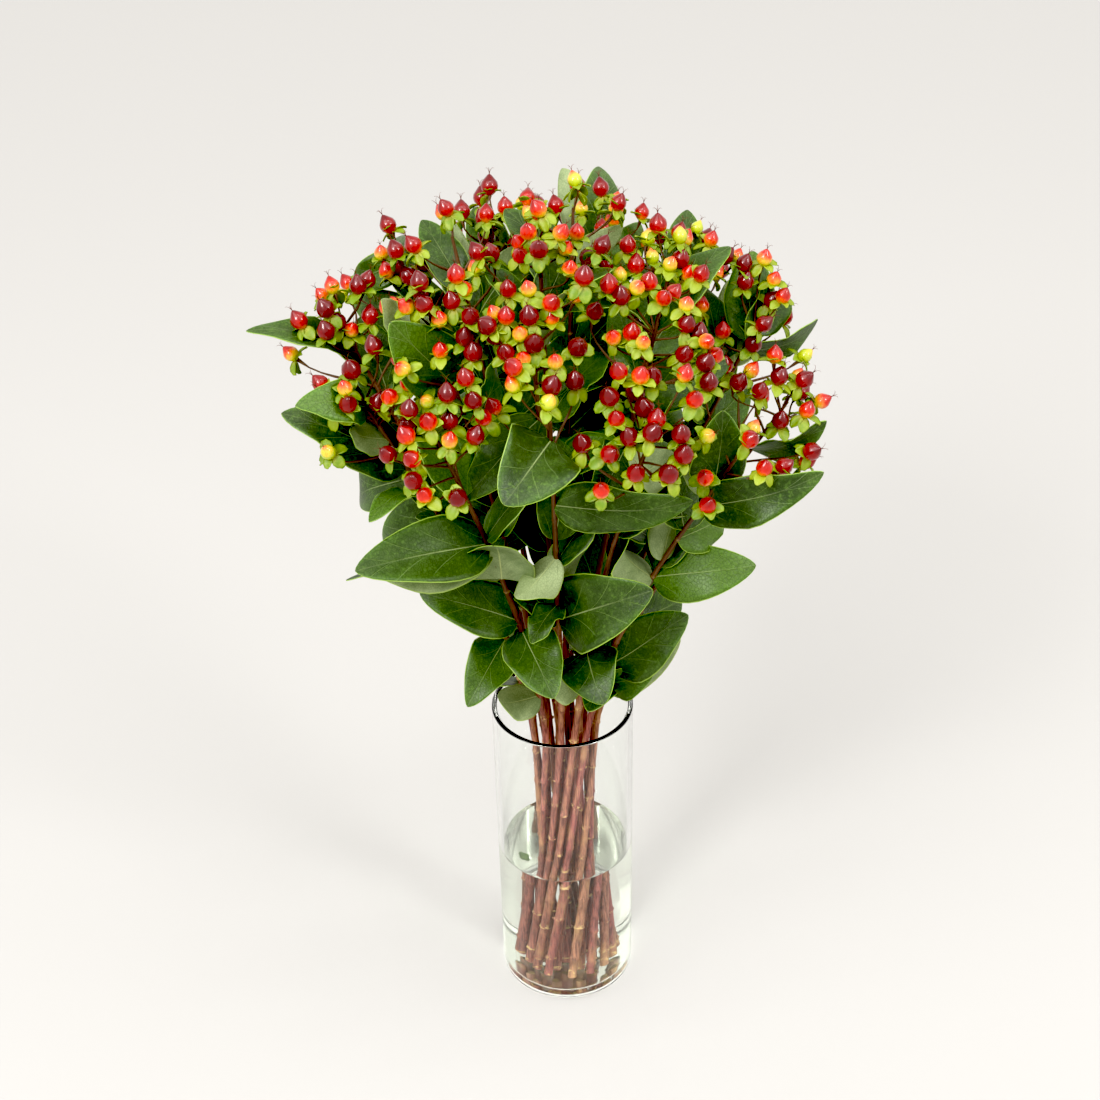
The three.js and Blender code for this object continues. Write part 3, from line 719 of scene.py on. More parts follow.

# %% [markdown]
# ## The berries that the eye sees
#
# In front, each berry is listed one by one: its place on the sheet and how ripe it is. A berry has no depth
# of its own there, so it hangs from the nearest head, and a few depths are tried until it is clear of the
# leaves and of every other berry. Where none is clear, the berry is left out.

# %% Seen berries
SEEN = dict(above=8 * MM, least=8 * MM, most=60 * MM, fall=0.9, lean=1.5)
SEEN_DEPTHS = (14, 6, 22, -2, 30, -10, 38, -18)  # mm in front of the head's top
SAME_BERRY = 11  # dots of the sheet
CLEAR_OF_LEAVES = 4.5 * MM
CLEAR_OF_BERRIES = 9.5 * MM
SEEN_BERRIES = [
    # across and down the sheet, and how ripe
    (298, 319, 0.7), (331, 283, 0.5), (325, 308, 0.95), (337, 320, 0.9), (345, 296, 0.35), (358, 284, 0.9),
    (368, 278, 0.8), (352, 328, 0.4), (370, 314, 0.8), (373, 344, 0.9), (386, 269, 0.5), (395, 268, 0.8),
    (381, 251, 0.35), (408, 241, 0.35), (408, 275, 0.85), (419, 280, 0.9), (424, 261, 0.95), (405, 305, 0.4),
    (423, 303, 0.8), (439, 317, 0.4), (451, 299, 0.8), (456, 273, 0.6), (474, 266, 0.35), (464, 222, 0.8),
    (488, 224, 0.85), (486, 235, 0.9), (505, 205, 0.6), (515, 208, 0.8), (542, 199, 0.6), (484, 257, 0.9),
    (499, 290, 0.85), (520, 254, 0.6), (518, 241, 0.5), (533, 245, 0.35), (528, 230, 0.5), (546, 247, 0.95),
    (528, 293, 0.6), (552, 302, 0.55), (529, 315, 0.9), (493, 311, 0.35), (506, 314, 0.6), (465, 336, 0.9),
    (473, 351, 0.8), (494, 334, 0.8), (505, 351, 0.8), (520, 332, 0.3), (523, 357, 0.35), (534, 343, 0.95),
    (512, 366, 0.6), (512, 382, 0.35), (440, 348, 0.5), (414, 365, 0.9), (408, 381, 0.5), (424, 392, 0.6),
    (447, 392, 0.95), (465, 376, 0.7), (473, 399, 0.9), (409, 408, 0.9), (425, 422, 0.5), (449, 419, 0.8),
    (407, 424, 0.8), (405, 434, 0.6), (450, 438, 0.4), (476, 434, 0.85), (351, 369, 0.9), (344, 386, 0.35),
    (378, 401, 0.9), (348, 403, 0.8), (333, 409, 0.6), (552, 385, 0.9), (553, 406, 0.6), (559, 206, 0.7),
    (562, 231, 0.45), (580, 214, 0.3), (613, 218, 0.45), (647, 211, 0.2), (650, 227, 0.6), (658, 223, 0.7),
    (605, 238, 0.9), (567, 246, 0.4), (628, 243, 0.7), (570, 267, 0.4), (584, 275, 0.75), (588, 255, 0.9),
    (607, 264, 0.75), (609, 283, 0.65), (603, 304, 0.25), (551, 315, 0.5), (636, 263, 0.7), (655, 260, 0.4),
    (671, 262, 0.3), (681, 258, 0.75), (689, 272, 0.45), (712, 237, 0.5), (712, 261, 0.6), (705, 277, 0.9),
    (628, 276, 0.35), (638, 286, 0.3), (649, 280, 0.6), (674, 290, 0.9), (621, 295, 0.9), (687, 302, 0.35),
    (687, 323, 0.85), (699, 332, 0.95), (649, 332, 0.85), (632, 331, 0.6), (613, 336, 0.4), (578, 347, 0.9),
    (708, 341, 0.4), (723, 329, 0.6), (685, 353, 0.8), (706, 362, 0.95), (618, 370, 0.65), (641, 374, 0.5),
    (652, 376, 0.85), (686, 371, 0.55), (709, 381, 0.95), (725, 364, 0.7), (609, 396, 0.85), (616, 417, 0.6),
    (644, 407, 0.9), (666, 413, 0.5), (695, 398, 0.55), (629, 436, 0.85), (681, 433, 0.85), (653, 432, 0.9),
    (684, 454, 0.85), (582, 450, 0.9), (636, 472, 0.75), (601, 489, 0.5), (705, 477, 0.45), (738, 254, 0.35),
    (745, 262, 0.95), (765, 256, 0.4), (775, 277, 0.4), (746, 280, 0.85), (784, 294, 0.55), (773, 299, 0.9),
    (764, 319, 0.6), (754, 343, 0.9), (775, 353, 0.55), (756, 362, 0.7), (780, 375, 0.9), (801, 381, 0.5),
    (739, 382, 0.85), (771, 388, 0.5), (808, 408, 0.55), (781, 419, 0.9), (761, 420, 0.75), (765, 466, 0.55),
    (752, 448, 0.7), (413, 480, 0.8), (424, 494, 0.5), (411, 458, 0.6), (488, 402, 0.4),
]

# %% Hanging the seen berries
def solid_tree():
    """All the model's stems as one searchable surface."""
    points = []
    faces = []
    for stem in STEMS:
        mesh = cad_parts[node_name(stem)].data
        first = len(points)
        points += [vertex.co.copy() for vertex in mesh.vertices]
        faces += [[first + corner for corner in face.vertices] for face in mesh.polygons]
    return BVHTree.FromPolygons(points, faces)


BUNCH = solid_tree()
BERRY_MIDDLES = list(MODEL_MIDDLES)


def is_clear(stalk):
    """Whether a stalk's berry keeps off the model's leaves and off the berries hung so far."""
    middle = middle_of(stalk)
    nearest = min(np.linalg.norm(middle - other) for other in BERRY_MIDDLES)
    off_leaves = BUNCH.find_nearest(middle.tolist())[3]
    return off_leaves > CLEAR_OF_LEAVES and nearest > CLEAR_OF_BERRIES


def on_sheet(point):
    """The place on the sheet at which the eye sees a point."""
    away = point - EYE
    scale = FOCAL / np.dot(away, FORWARD)
    return SHEET / 2 + scale * np.dot(away, RIGHT), SHEET / 2 - scale * np.dot(away, ABOVE)


def gap_on_sheet(place, point):
    seen = on_sheet(point)
    return math.hypot(seen[0] - place[0], seen[1] - place[1])


def seen_stalk(place, ripe):
    """The stem and the stalk of a berry seen at a place of the sheet, or None where it can't hang clear."""
    stem = min(STEMS, key=lambda stem: gap_on_sheet(place, PATHS[stem][-1] + UP * SEEN["above"]))
    top = PATHS[stem][-1]
    stem_axis = unit(top - PATHS[stem][-2])
    direction = sight(place)
    for nearer in SEEN_DEPTHS:
        middle = EYE + direction * (np.dot(top - EYE, direction) - nearer * MM)
        off = middle - top
        fall = math.hypot(off[0], off[1]) * SEEN["fall"] - off[2]
        root = top - stem_axis * min(max(SEEN["least"], fall), SEEN["most"])
        lean = unit(unit(middle - root) + UP * SEEN["lean"])
        end = middle - lean * BERRY["length"] / 2
        stalk = dict(root=root, end=end, axis=lean, forks=False, ripe=ripe)
        if is_clear(stalk):
            return stem, stalk
    return None


def hang(heads, stem, stalk):
    heads[stem].append(stalk)
    BERRY_MIDDLES.append(middle_of(stalk))


def hang_seen(heads):
    """Hangs the berries that the eye sees, except where the model already has one."""
    for *place, ripe in SEEN_BERRIES:
        if min(gap_on_sheet(place, middle) for middle in MODEL_MIDDLES) > SAME_BERRY:
            found = seen_stalk(place, ripe)
            if found:
                hang(heads, *found)


FULL_HEADS = [list(stalks.values()) for stalks in KEPT_STALKS]
hang_seen(FULL_HEADS)
print("berries with the seen ones:", sum(map(len, FULL_HEADS)))

# %% [markdown]
# ## The berries behind the leaves
#
# Behind the leaves a rule is enough. The pairs that the model left out are tried again at other headings,
# and each long branch forks once more, with a berry to either side. Only berries that the leaves hide from
# the eye are added, so the front stays as it was set. In the end every berry, seen or hidden, is turned to
# nod upwards and outwards, each a little otherwise, because real ones never stand in rank.

# %% Hidden berries
FORK = dict(at=0.42, out=13 * MM, rise=14 * MM)
BOW = dict(start=1.1, stop=1.0)


def is_hidden(middle):
    """Whether the model's leaves stand between the eye and a berry's middle."""
    away = middle - EYE
    reach = np.linalg.norm(away)
    return BUNCH.ray_cast(EYE.tolist(), unit(away).tolist(), reach - BERRY["length"])[0] is not None


def is_free(stalk):
    return is_clear(stalk) and is_hidden(middle_of(stalk))


def stalk_point(stalk, part):
    """A point of a stalk's curve: it leaves steeply, bows out, and ends along the berry's axis."""
    run = stalk["end"] - stalk["root"]
    reach = np.linalg.norm(run)
    start = run * BOW["start"]
    stop = stalk["axis"] * reach * BOW["stop"]
    keep = (1 + 2 * part) * (1 - part) ** 2 * stalk["root"] + part**2 * (3 - 2 * part) * stalk["end"]
    return keep + part * (1 - part) ** 2 * start + part**2 * (part - 1) * stop


def fork_stalk(branch, side):
    """A berry's stalk to one side of a branch, square to the pair that the branch belongs to."""
    along = unit(branch["end"] - branch["root"])
    level = np.cross(branch["stem_axis"], branch["side"]) * side
    root = stalk_point(branch, FORK["at"])
    end = root + along * FORK["rise"] + level * FORK["out"]
    lean = unit(unit(end - root) + branch["axis"] * HEAD["lean"])
    return dict(root=root, end=end, axis=lean, forks=False)


def hang_hidden(heads):
    """Fills the heads by rule behind the leaves, where the eye doesn't look."""
    for stem in STEMS:
        for number in range(1 + 2 * len(HEAD_PAIRS)):
            tries = [head_stalks(stem, swing)[number] for swing in STALK_SWINGS]
            free = [stalk for stalk in tries if is_free(stalk)]
            if free and number not in KEPT_STALKS[stem]:
                hang(heads, stem, free[0])
        for branch in [stalk for stalk in heads[stem] if stalk["forks"]]:
            for side in (1, -1):
                stalk = fork_stalk(branch, side)
                if is_free(stalk):
                    hang(heads, stem, stalk)


hang_hidden(FULL_HEADS)
print("berries in all:", sum(map(len, FULL_HEADS)))


# %% The nod of each berry
NOD = dict(up=0.55, out=0.35, stray=0.28)


def nodding(stalk, chance):
    """The stalk with its berry raised, then nodding outwards, about the berry's own middle."""
    middle = middle_of(stalk)
    out = unit(middle * (1, 1, 0)) * NOD["out"]
    stray = np.array([chance.gauss(0, NOD["stray"]) for _ in range(3)])
    axis = unit(stalk["axis"] + UP * NOD["up"] + out + stray)
    return dict(stalk, axis=axis, end=middle - axis * BERRY["full_length"] / 2)


def nodding_heads(heads):
    chance = random.Random(SEEDS["heads"])
    return [[nodding(stalk, chance) for stalk in stalks] for stalks in heads]


HEADS = nodding_heads(FULL_HEADS)
print("the first berry's axis:", HEADS[0][0]["axis"].round(2))

# %% [markdown]
# ## Leaf finishes
#
# A hypericum leaf is deep green and slightly glossy above, with a cream midrib and a few curving side veins.
# Its outer part is painted paler towards the tip, and its very edge is painted as a thin yellow-green line:
# both are painted light, where light catches the rim of the blade. Below it is matt grey-green with a fine
# net, and its edge line is painted light as well. Every leaf carries its own flat map in whose middle the
# midrib runs, so one finish draws all of them. The pattern could be painted, but worked out in the shader it
# stays sharp at any distance.

# %% Leaf finish
# Of these colours, the two for the leaf's rim are painted light: a paler border and a thin bright edge line,
# where light catches the blade.
UPPER = dict(
    # The blister green is painted light: paler spots where light catches the puckers of the blade.
    deep=(55, 70, 41), soft=(73, 92, 50), young=(92, 122, 52), painted_pucker_light=(104, 136, 62), pore=(26, 44, 22),
    painted_rim_light=(92, 130, 50), net=(34, 52, 26), vein=(128, 152, 92), midrib=(168, 184, 126), edge=(164, 194, 90),
)
# Of these colours, the edge one is painted light: a thin bright line where light catches the leaf's rim.
UNDER = dict(
    deep=(112, 128, 86), soft=(148, 162, 116), young=(168, 182, 132), net=(86, 102, 64),
    vein=(88, 108, 54), midrib=(186, 196, 132), edge=(166, 186, 96),
)
VEINS = dict(rows=3.6, sweep=1.7, bow=0.6)


def leaf_pattern(finish):
    """What both faces share: the place along the blade, midrib, side veins, edge and tint, from 0 to 1."""
    flat = finish.node("ShaderNodeUVMap", {"uv_map": "UVMap"})
    across = finish.node("ShaderNodeSeparateXYZ", {}, flat)
    along = Number(finish, across.socket.node.outputs["Y"])
    off = abs(across - 0.5) * 2
    midrib = (1 - off.between(0.006, 0.028)) * (1 - along.between(0.25, 0.8) * 0.85)
    rows = (along * VEINS["rows"] - off ** VEINS["bow"] * VEINS["sweep"]).fraction()
    vein = (1 - abs(rows - 0.5).between(0.008, 0.035)) * (1 - off.between(0.35, 0.8))
    return along, midrib, vein, finish.attribute("edge"), finish.attribute("tint")


def upper_leaf():
    finish = Finish("leaf_upper", roughness=0.4, specular_ior_level=0.34)
    along, midrib, vein, edge, tint = leaf_pattern(finish)
    place = finish.places()
    clouds = finish.noise(place, 60, 3, 0.6)
    puckers_and_lit_spots = finish.noise(place, 330, 2, 0.6)
    pores = finish.noise(place, 1100, 2, 0.5)
    net = finish.net(place, 430, 0.0, 0.14)
    green = finish.blend(clouds.between(0.3, 0.75), colour(*UPPER["deep"]), colour(*UPPER["soft"]))
    green = finish.coats(
        green,
        (tint * 0.8, UPPER["young"]),
        # Painted light: paler spots on the puckers, where light catches them; their bump and roughness are
        # real relief.
        (puckers_and_lit_spots.between(0.5, 0.7) * 0.34, UPPER["painted_pucker_light"]),
        (pores.between(0.45, 0.8) * 0.3, UPPER["pore"]),
        # Painted light: a paler green over the outer half of the blade towards the tip, where light catches
        # it.
        (edge.between(0.5, 1.0) * along.between(0.3, 1.0) * 0.4, UPPER["painted_rim_light"]),
        (net * 0.4, UPPER["net"]),
        (vein * 0.36, UPPER["vein"]),
        (midrib * 0.6, UPPER["midrib"]),
        # Painted light: a thin bright line along the very edge, where light catches the rim.
        (edge.between(0.96, 0.99) * 0.75, UPPER["edge"]),
    )
    finish.drive("Base Color", green)
    finish.drive("Roughness", 0.32 + clouds * 0.08 + puckers_and_lit_spots * 0.06)
    height = clouds * 0.25 + puckers_and_lit_spots * 0.22 + pores * 0.05 - net * 0.08 - vein * 0.4 - midrib * 0.6
    finish.drive("Normal", finish.bump(height, strength=0.6, distance=1.2 * MM))
    return finish.material


def under_leaf():
    finish = Finish("leaf_under", roughness=0.6)
    _, midrib, vein, edge, tint = leaf_pattern(finish)
    place = finish.places()
    clouds = finish.noise(place, 60, 3, 0.6)
    net = finish.net(place, 620, 0.02, 0.16)
    green = finish.blend(clouds.between(0.3, 0.7), colour(*UNDER["deep"]), colour(*UNDER["soft"]))
    green = finish.coats(
        green,
        (tint * 0.7, UNDER["young"]),
        (net * 0.3, UNDER["net"]),
        (vein * 0.3, UNDER["vein"]),
        (midrib * 0.7, UNDER["midrib"]),
        # Painted light: a thin bright line along the edge, where light catches the rim.
        (edge.between(0.94, 0.99) * 0.5, UNDER["edge"]),
    )
    finish.drive("Base Color", green)
    finish.drive("Roughness", 0.5 + clouds * 0.2)
    height = midrib * 1.0 + vein * 0.4 + net * 0.12 + clouds * 0.4
    finish.drive("Normal", finish.bump(height, strength=0.5, distance=0.9 * MM))
    return finish.material


LEAF_UPPER = upper_leaf()
LEAF_UNDER = under_leaf()
print("finishes:", LEAF_UPPER.name, LEAF_UNDER.name)

# %% [markdown]
# ## The blade of a leaf
#
# One blade is modelled flat: a grid, given its thickness by a Solidify modifier, upper face and under face
# in different materials. Each leaf is then a copy of it that a short formula bends to its own place: the
# outline narrows it, the arch lifts its middle, the fold raises its halves, and a wave runs along its
# edges. Sculpting each of these leaves by hand would give no better form and no two runs alike.

# %% Base blade
BLADE_GRID = dict(columns=10, rows=15)


def only(thing):
    """Selects one object alone and makes it the active one."""
    bpy.ops.object.select_all(action="DESELECT")
    thing.select_set(True)
    bpy.context.view_layer.objects.active = thing


def apply_modifier(thing, kind, **settings):
    only(thing)
    modifier = thing.modifiers.new(kind.lower(), kind)
    for name, value in settings.items():
        setattr(modifier, name, value)
    bpy.ops.object.modifier_apply(modifier=modifier.name)


def flat_blade(name, columns, rows, upper, under):
    """A slab, 2 across, 2 along and 2 thick, whose two faces have their own materials."""
    bpy.ops.object.select_all(action="DESELECT")
    bpy.ops.mesh.primitive_grid_add(x_subdivisions=columns, y_subdivisions=rows, size=2)
    slab = bpy.context.object
    slab.name = name
    slab.data.materials.append(upper)
    slab.data.materials.append(under)
    apply_modifier(slab, "SOLIDIFY", thickness=2, offset=0, material_offset=1, use_even_offset=False)
    bpy.ops.object.shade_smooth()
    return slab


def coordinates_of(mesh):
    places = np.empty(len(mesh.vertices) * 3)
    mesh.vertices.foreach_get("co", places)
    return places.reshape(-1, 3)


def set_attribute(mesh, name, values):
    """Gives each vertex a number that a finish can read."""
    attribute = mesh.attributes.new(name, "FLOAT", "POINT")
    attribute.data.foreach_set("value", np.broadcast_to(values, len(mesh.vertices)).astype(np.float32))


BLADE = flat_blade("blade", **BLADE_GRID, upper=LEAF_UPPER, under=LEAF_UNDER)
BLADE_SLAB = coordinates_of(BLADE.data)
print("blade:", len(BLADE.data.polygons), "faces")


# %% The flat map of a leaf
CROWDING = 1.15


def outline(along):
    """The part of its full width that a leaf has at a part of its length."""
    return np.sin(np.pi * along ** OUTLINE["early"]).clip(0) ** OUTLINE["full"]


def along_slab(slab):
    """How far along the blade each point lies, from 0 to 1, with the rows crowded to root and tip."""
    return 0.5 - 0.5 * np.cos(np.pi * (slab[:, 1] + 1) / 2)


def across_slab(slab):
    """How far to the side each point lies, from -1 to 1, with the columns crowded to the midrib."""
    return np.sign(slab[:, 0]) * abs(slab[:, 0]) ** CROWDING


def flat_map(mesh, slab):
    """Writes the blade's true flat outline to its map: the midrib at 0.5, the root at 0, the tip at 1."""
    corners = np.empty(len(mesh.loops), dtype=np.int32)
    mesh.loops.foreach_get("vertex_index", corners)
    along = along_slab(slab)
    places = np.column_stack([0.5 + 0.5 * across_slab(slab) * outline(along), along])
    mesh.uv_layers[0].data.foreach_set("uv", places[corners].ravel())


flat_map(BLADE.data, BLADE_SLAB)
set_attribute(BLADE.data, "edge", abs(BLADE_SLAB[:, 0]))
print("flat map:", len(BLADE.data.loops), "corners")

# %% [markdown]
# ## The form of each leaf
#
# No two leaves curl alike. Most draw their fold, wave, twist and curl at random. The leaves of the collar
# are large and near the eye, so theirs are stated, by their row in the tables of front leaves. A few of
# them are also swung about the upper face, pitched about the width, moved towards the eye or enlarged.

# %% Stated forms
FULLER = 1.06
CURLED = {
    7: dict(curl=22, wave=1.5 * MM),
    9: dict(curl=34, hook=0.1),
    10: dict(curl=-36, hook=0.05, fold=0.1, swing=-8, pitch=15, grow=1.28, forward=3 * MM),
    12: dict(tint=0.3),
    13: dict(tint=0.5),
    14: dict(curl=24, wave=1 * MM),
    15: dict(curl=30),
    16: dict(pitch=-3, grow=1.14, twist=0, curl=8, tint=0),
    18: dict(curl=60, wave=3 * MM),
    19: dict(pitch=-22, grow=1.25, forward=4 * MM, tint=0.1),
    # Row 21 sits in shade, and its tint of 0 gives it the deepest green: painted shade.
    21: dict(tint=0),
    24: dict(tint=0.8),
    27: dict(curl=30),
    28: dict(wave=6 * MM, waves=1.1, phase=2.4, fold=0),
    29: dict(curl=42, wave=3.5 * MM, waves=1.2),
    30: dict(curl=70, wave=2 * MM),
    31: dict(curl=62, hook=0.2),
    53: dict(fold=0.8, tint=0),
    54: dict(tint=0),
}


def leaf_form(chance, row):
    """How one leaf departs from the flat: drawn at random, and stated for the leaves that curl."""
    form = dict(
        fold=chance.uniform(0.02, 0.4),
        wave=chance.uniform(1.2, 4.0) * MM,
        waves=chance.uniform(1.0, 2.0),
        phase=chance.uniform(0, 2 * math.pi),
        twist=chance.uniform(-22, 22),
        curl=chance.uniform(-14, 20),
        hook=chance.uniform(-0.03, 0.15),
        tint=chance.uniform(0, 1) ** 2.2,
        swing=0,
        pitch=0,
        forward=0,
        grow=1 if row is None else FULLER,
    )
    form.update(CURLED.get(row, {}))
    return form


print("stated forms:", len(CURLED))

# %% Shape of a leaf
CREASE = dict(round=3 * MM, sink=0.11)
HOOK = dict(start=0.55, steep=5)
RIB = dict(height=0.35 * MM, width=1.1 * MM)
TWIST_START = 0.3


def turned(leaf, form):
    """The leaf as its form swings, pitches, moves and enlarges it."""
    along = rotated(leaf["along"], leaf["face"], form["swing"])
    across = rotated(leaf["across"], leaf["face"], form["swing"])
    return dict(
        root=leaf["root"] + unit(EYE - leaf["root"]) * form["forward"],
        along=rotated(along, across, form["pitch"]),
        across=across,
        face=rotated(leaf["face"], across, form["pitch"]),
        length=leaf["length"] * form["grow"],
        width=leaf["width"] * form["grow"],
    )


def rolled(flat, lift, curl):
    """Rolls the blade about its midrib, to a radius of 1 m divided by the curl."""
    radius = 1 / curl
    angle = flat / radius
    return radius * np.sin(angle), lift + radius * (1 - np.cos(angle))


def leaf_points(leaf, form, slab):
    """The slab's points bent to a leaf's place and form."""
    along = along_slab(slab)
    spread = across_slab(slab)
    half = leaf["width"] / 2 * outline(along)
    flat = spread * np.maximum(half, np.where(along < 0.5, LEAF["root"], LEAF["tip"]))
    swell = np.sin(np.pi * along)
    raised = np.hypot(flat, CREASE["round"]) - CREASE["round"] - leaf["width"] * CREASE["sink"]
    wave = form["wave"] * spread**2 * np.sin(2 * np.pi * form["waves"] * along + form["phase"] + spread)
    hook = form["hook"] * leaf["length"] * (along - HOOK["start"]).clip(0) ** 2 * HOOK["steep"]
    lift = LEAF["arch"] * leaf["length"] * swell + (form["fold"] * raised + wave) * swell - hook
    rib = RIB["height"] * np.exp(-((flat / RIB["width"]) ** 2)) * (1 - along) * (slab[:, 2] < 0)
    lift = lift + slab[:, 2] * LEAF["thickness"] / 2 - rib
    flat, lift = rolled(flat, lift, form["curl"])
    turn = np.radians(form["twist"]) * (along - TWIST_START)
    sideways = flat * np.cos(turn) - lift * np.sin(turn)
    outward = flat * np.sin(turn) + lift * np.cos(turn)
    places = leaf["root"] + np.outer(along * leaf["length"], leaf["along"])
    return places + np.outer(sideways, leaf["across"]) + np.outer(outward, leaf["face"])


print("leaf points:", leaf_points(LEAVES[0][0], leaf_form(random.Random(0), None), BLADE_SLAB).shape)

# %% Leaves of each stem
def link_copy(name, data):
    copy = bpy.data.objects.new(name, data)
    bpy.context.scene.collection.objects.link(copy)
    return copy


def leaf_copy(leaf, form):
    mesh = BLADE.data.copy()
    mesh.vertices.foreach_set("co", leaf_points(turned(leaf, form), form, BLADE_SLAB).ravel())
    set_attribute(mesh, "tint", form["tint"])
    mesh.update()
    return link_copy("leaf", mesh)


def join(name, copies):
    """Joins the copies into one piece at the origin."""
    bpy.ops.object.select_all(action="DESELECT")
    for copy in copies:
        copy.select_set(True)
    bpy.context.view_layer.objects.active = copies[0]
    if len(copies) > 1:
        bpy.ops.object.join()
    piece = bpy.context.view_layer.objects.active
    piece.name = name
    piece.data.name = name
    return piece


def settle(piece, node):
    """Puts a finished piece on the model's body, in the place of the node that it stands for."""
    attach(piece, "root")
    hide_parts(node)
    return piece


def grow_leaves():
    chance = random.Random(SEEDS["leaves"])
    for stem in STEMS:
        copies = [leaf_copy(leaf, leaf_form(chance, leaf["row"])) for leaf in LEAVES[stem]]
        settle(join(f"{node_name(stem)}_leaves", copies), node_name(stem))


grow_leaves()
bpy.data.objects.remove(BLADE)
print("leaves: one piece for each stem")

# %% [markdown]
# ## Berries
#
# A hypericum berry is an egg with a drawn-out tip, about 11 mm wide, on which three thin dark styles stay
# from the flower. It starts yellow-green at its foot and red at its tip, and ripens to a deep glossy
# crimson all over. One berry is modelled from a sphere, its tip pulled out in edit mode, and copied; each
# copy carries its own ripeness, which the finish reads.

# %% Berry finishes
RIPENING = [
    (0.0, (180, 190, 60)), (0.16, (226, 186, 72)), (0.3, (234, 122, 60)),
    (0.44, (198, 50, 36)), (0.66, (148, 30, 29)), (1.0, (98, 23, 25)),
]
STREAK = (112, 24, 26)
STYLE_TONES = dict(dark=(70, 34, 30), light=(128, 74, 52))


def berry_skin():
    """The skin ripens with the berry, and its tip is always a little ahead of its foot."""
    gloss = dict(specular_ior_level=0.3, coat_weight=0.7, coat_roughness=0.07)
    finish = Finish("berry_skin", roughness=0.3, **gloss)
    height = finish.attribute("height")
    ripe = finish.attribute("ripe")
    blush = finish.noise(finish.places(), 260, 3, 0.6)
    streaks = finish.noise(finish.places((1, 1, 0.25)), 900, 2, 0.6)
    stage = height * 0.65 + ripe * 1.25 - 0.58 + (blush - 0.5) * 0.4
    skin = finish.node("ShaderNodeValToRGB", {"stops": RIPENING}, stage)
    skin = finish.coats(skin, (streaks.between(0.5, 0.8) * 0.3, STREAK))
    finish.drive("Base Color", skin)
    finish.drive("Roughness", 0.22 + blush * 0.16)
    finish.drive("Normal", finish.bump(streaks + blush * 2, strength=0.12, distance=0.5 * MM))
    return finish.material


def style_skin():
    finish = Finish("style", roughness=0.6)
    grain = finish.noise(finish.places(), 900)
    tones = colour(*STYLE_TONES["dark"]), colour(*STYLE_TONES["light"])
    finish.drive("Base Color", finish.blend(grain, *tones))
    return finish.material


BERRY_SKIN = berry_skin()
STYLE_SKIN = style_skin()
print("finishes:", BERRY_SKIN.name, STYLE_SKIN.name)


# %% One berry
EGG = dict(segments=10, ring_count=8)
DRAWN_OUT = [
    # a height on a ball from -1 to 1, and how much all above it is narrowed and lifted
    (0.3, 0.97, 0), (0.6, 0.87, 0), (0.85, 0.8, 0.12), (1.05, 1, 0.09),
]
EGG_FOOT = dict(below=-0.6, narrower=0.9)


def select(thing, kind, wanted):
    """In edit mode, selects the vertices, edges or faces that a test picks."""
    bpy.ops.mesh.select_mode(type=kind)
    mesh = bmesh.from_edit_mesh(thing.data)
    for part in dict(VERT=mesh.verts, EDGE=mesh.edges, FACE=mesh.faces)[kind]:
        part.select = wanted(part)
    mesh.select_flush_mode()
    bmesh.update_edit_mesh(thing.data)


def egg():
    """A ball of unit radius, drawn out to a tip and narrowed at its foot."""
    bpy.ops.object.select_all(action="DESELECT")
    bpy.ops.mesh.primitive_uv_sphere_add(**EGG, radius=1)
    berry = bpy.context.object
    bpy.ops.object.mode_set(mode="EDIT")
    for height, narrower, lift in DRAWN_OUT:
        select(berry, "VERT", lambda vertex: vertex.co.z > height)
        bpy.ops.transform.resize(value=(narrower, narrower, 1))
        bpy.ops.transform.translate(value=(0, 0, lift))
    select(berry, "VERT", lambda vertex: vertex.co.z < EGG_FOOT["below"])
    bpy.ops.transform.resize(value=(EGG_FOOT["narrower"], EGG_FOOT["narrower"], 1))
    bpy.ops.object.mode_set(mode="OBJECT")
    bpy.ops.object.shade_smooth()
    return berry


# %% Styles
STYLE = dict(radius=0.17 * MM, turns=(0, 2.2, 4.1))
STYLE_HOOK = [
    # out and up from the berry's tip in mm, and how thick
    (0, -0.6, 1), (0.35, 1.2, 1), (1.0, 2.6, 0.8), (2.2, 3.6, 0.6), (3.2, 3.4, 0.4),
]


def tube(name, radius, fineness):
    """An empty curve object whose splines become round tubes."""
    line = bpy.data.curves.new(name, "CURVE")
    line.dimensions = "3D"
    line.bevel_depth = radius
    line.bevel_resolution = fineness
    return link_copy(name, line)


def styles():
    """Three thin hooks that rise from the tip and curl outwards."""
    piece = tube("styles", STYLE["radius"], 0)
    for turn in STYLE["turns"]:
        spline = piece.data.splines.new("POLY")
        spline.points.add(len(STYLE_HOOK) - 1)
        for point, (out, up, thickness) in zip(spline.points, STYLE_HOOK):
            height = BERRY["full_length"] + up * MM
            point.co = (out * math.cos(turn) * MM, out * math.sin(turn) * MM, height, 1)
            point.radius = thickness
    only(piece)
    bpy.ops.object.convert(target="MESH")
    return bpy.context.object


def model_berry():
    """The egg brought to its size, with its foot at the origin and the styles on its tip."""
    berry = egg()
    heights = coordinates_of(berry.data)[:, 2]
    scale = BERRY["full_length"] / (heights.max() - heights.min())
    size = Matrix.Diagonal((BERRY["radius"], BERRY["radius"], scale, 1))
    berry.data.transform(size @ Matrix.Translation((0, 0, -heights.min())))
    berry.data.materials.append(BERRY_SKIN)
    hooks = styles()
    hooks.data.materials.append(STYLE_SKIN)
    berry = join("berry", [berry, hooks])
    heights = coordinates_of(berry.data)[:, 2]
    set_attribute(berry.data, "height", (heights / BERRY["full_length"]).clip(0, 1))
    return berry


BERRY_MODEL = model_berry()
print("berry:", len(BERRY_MODEL.data.polygons), "faces")


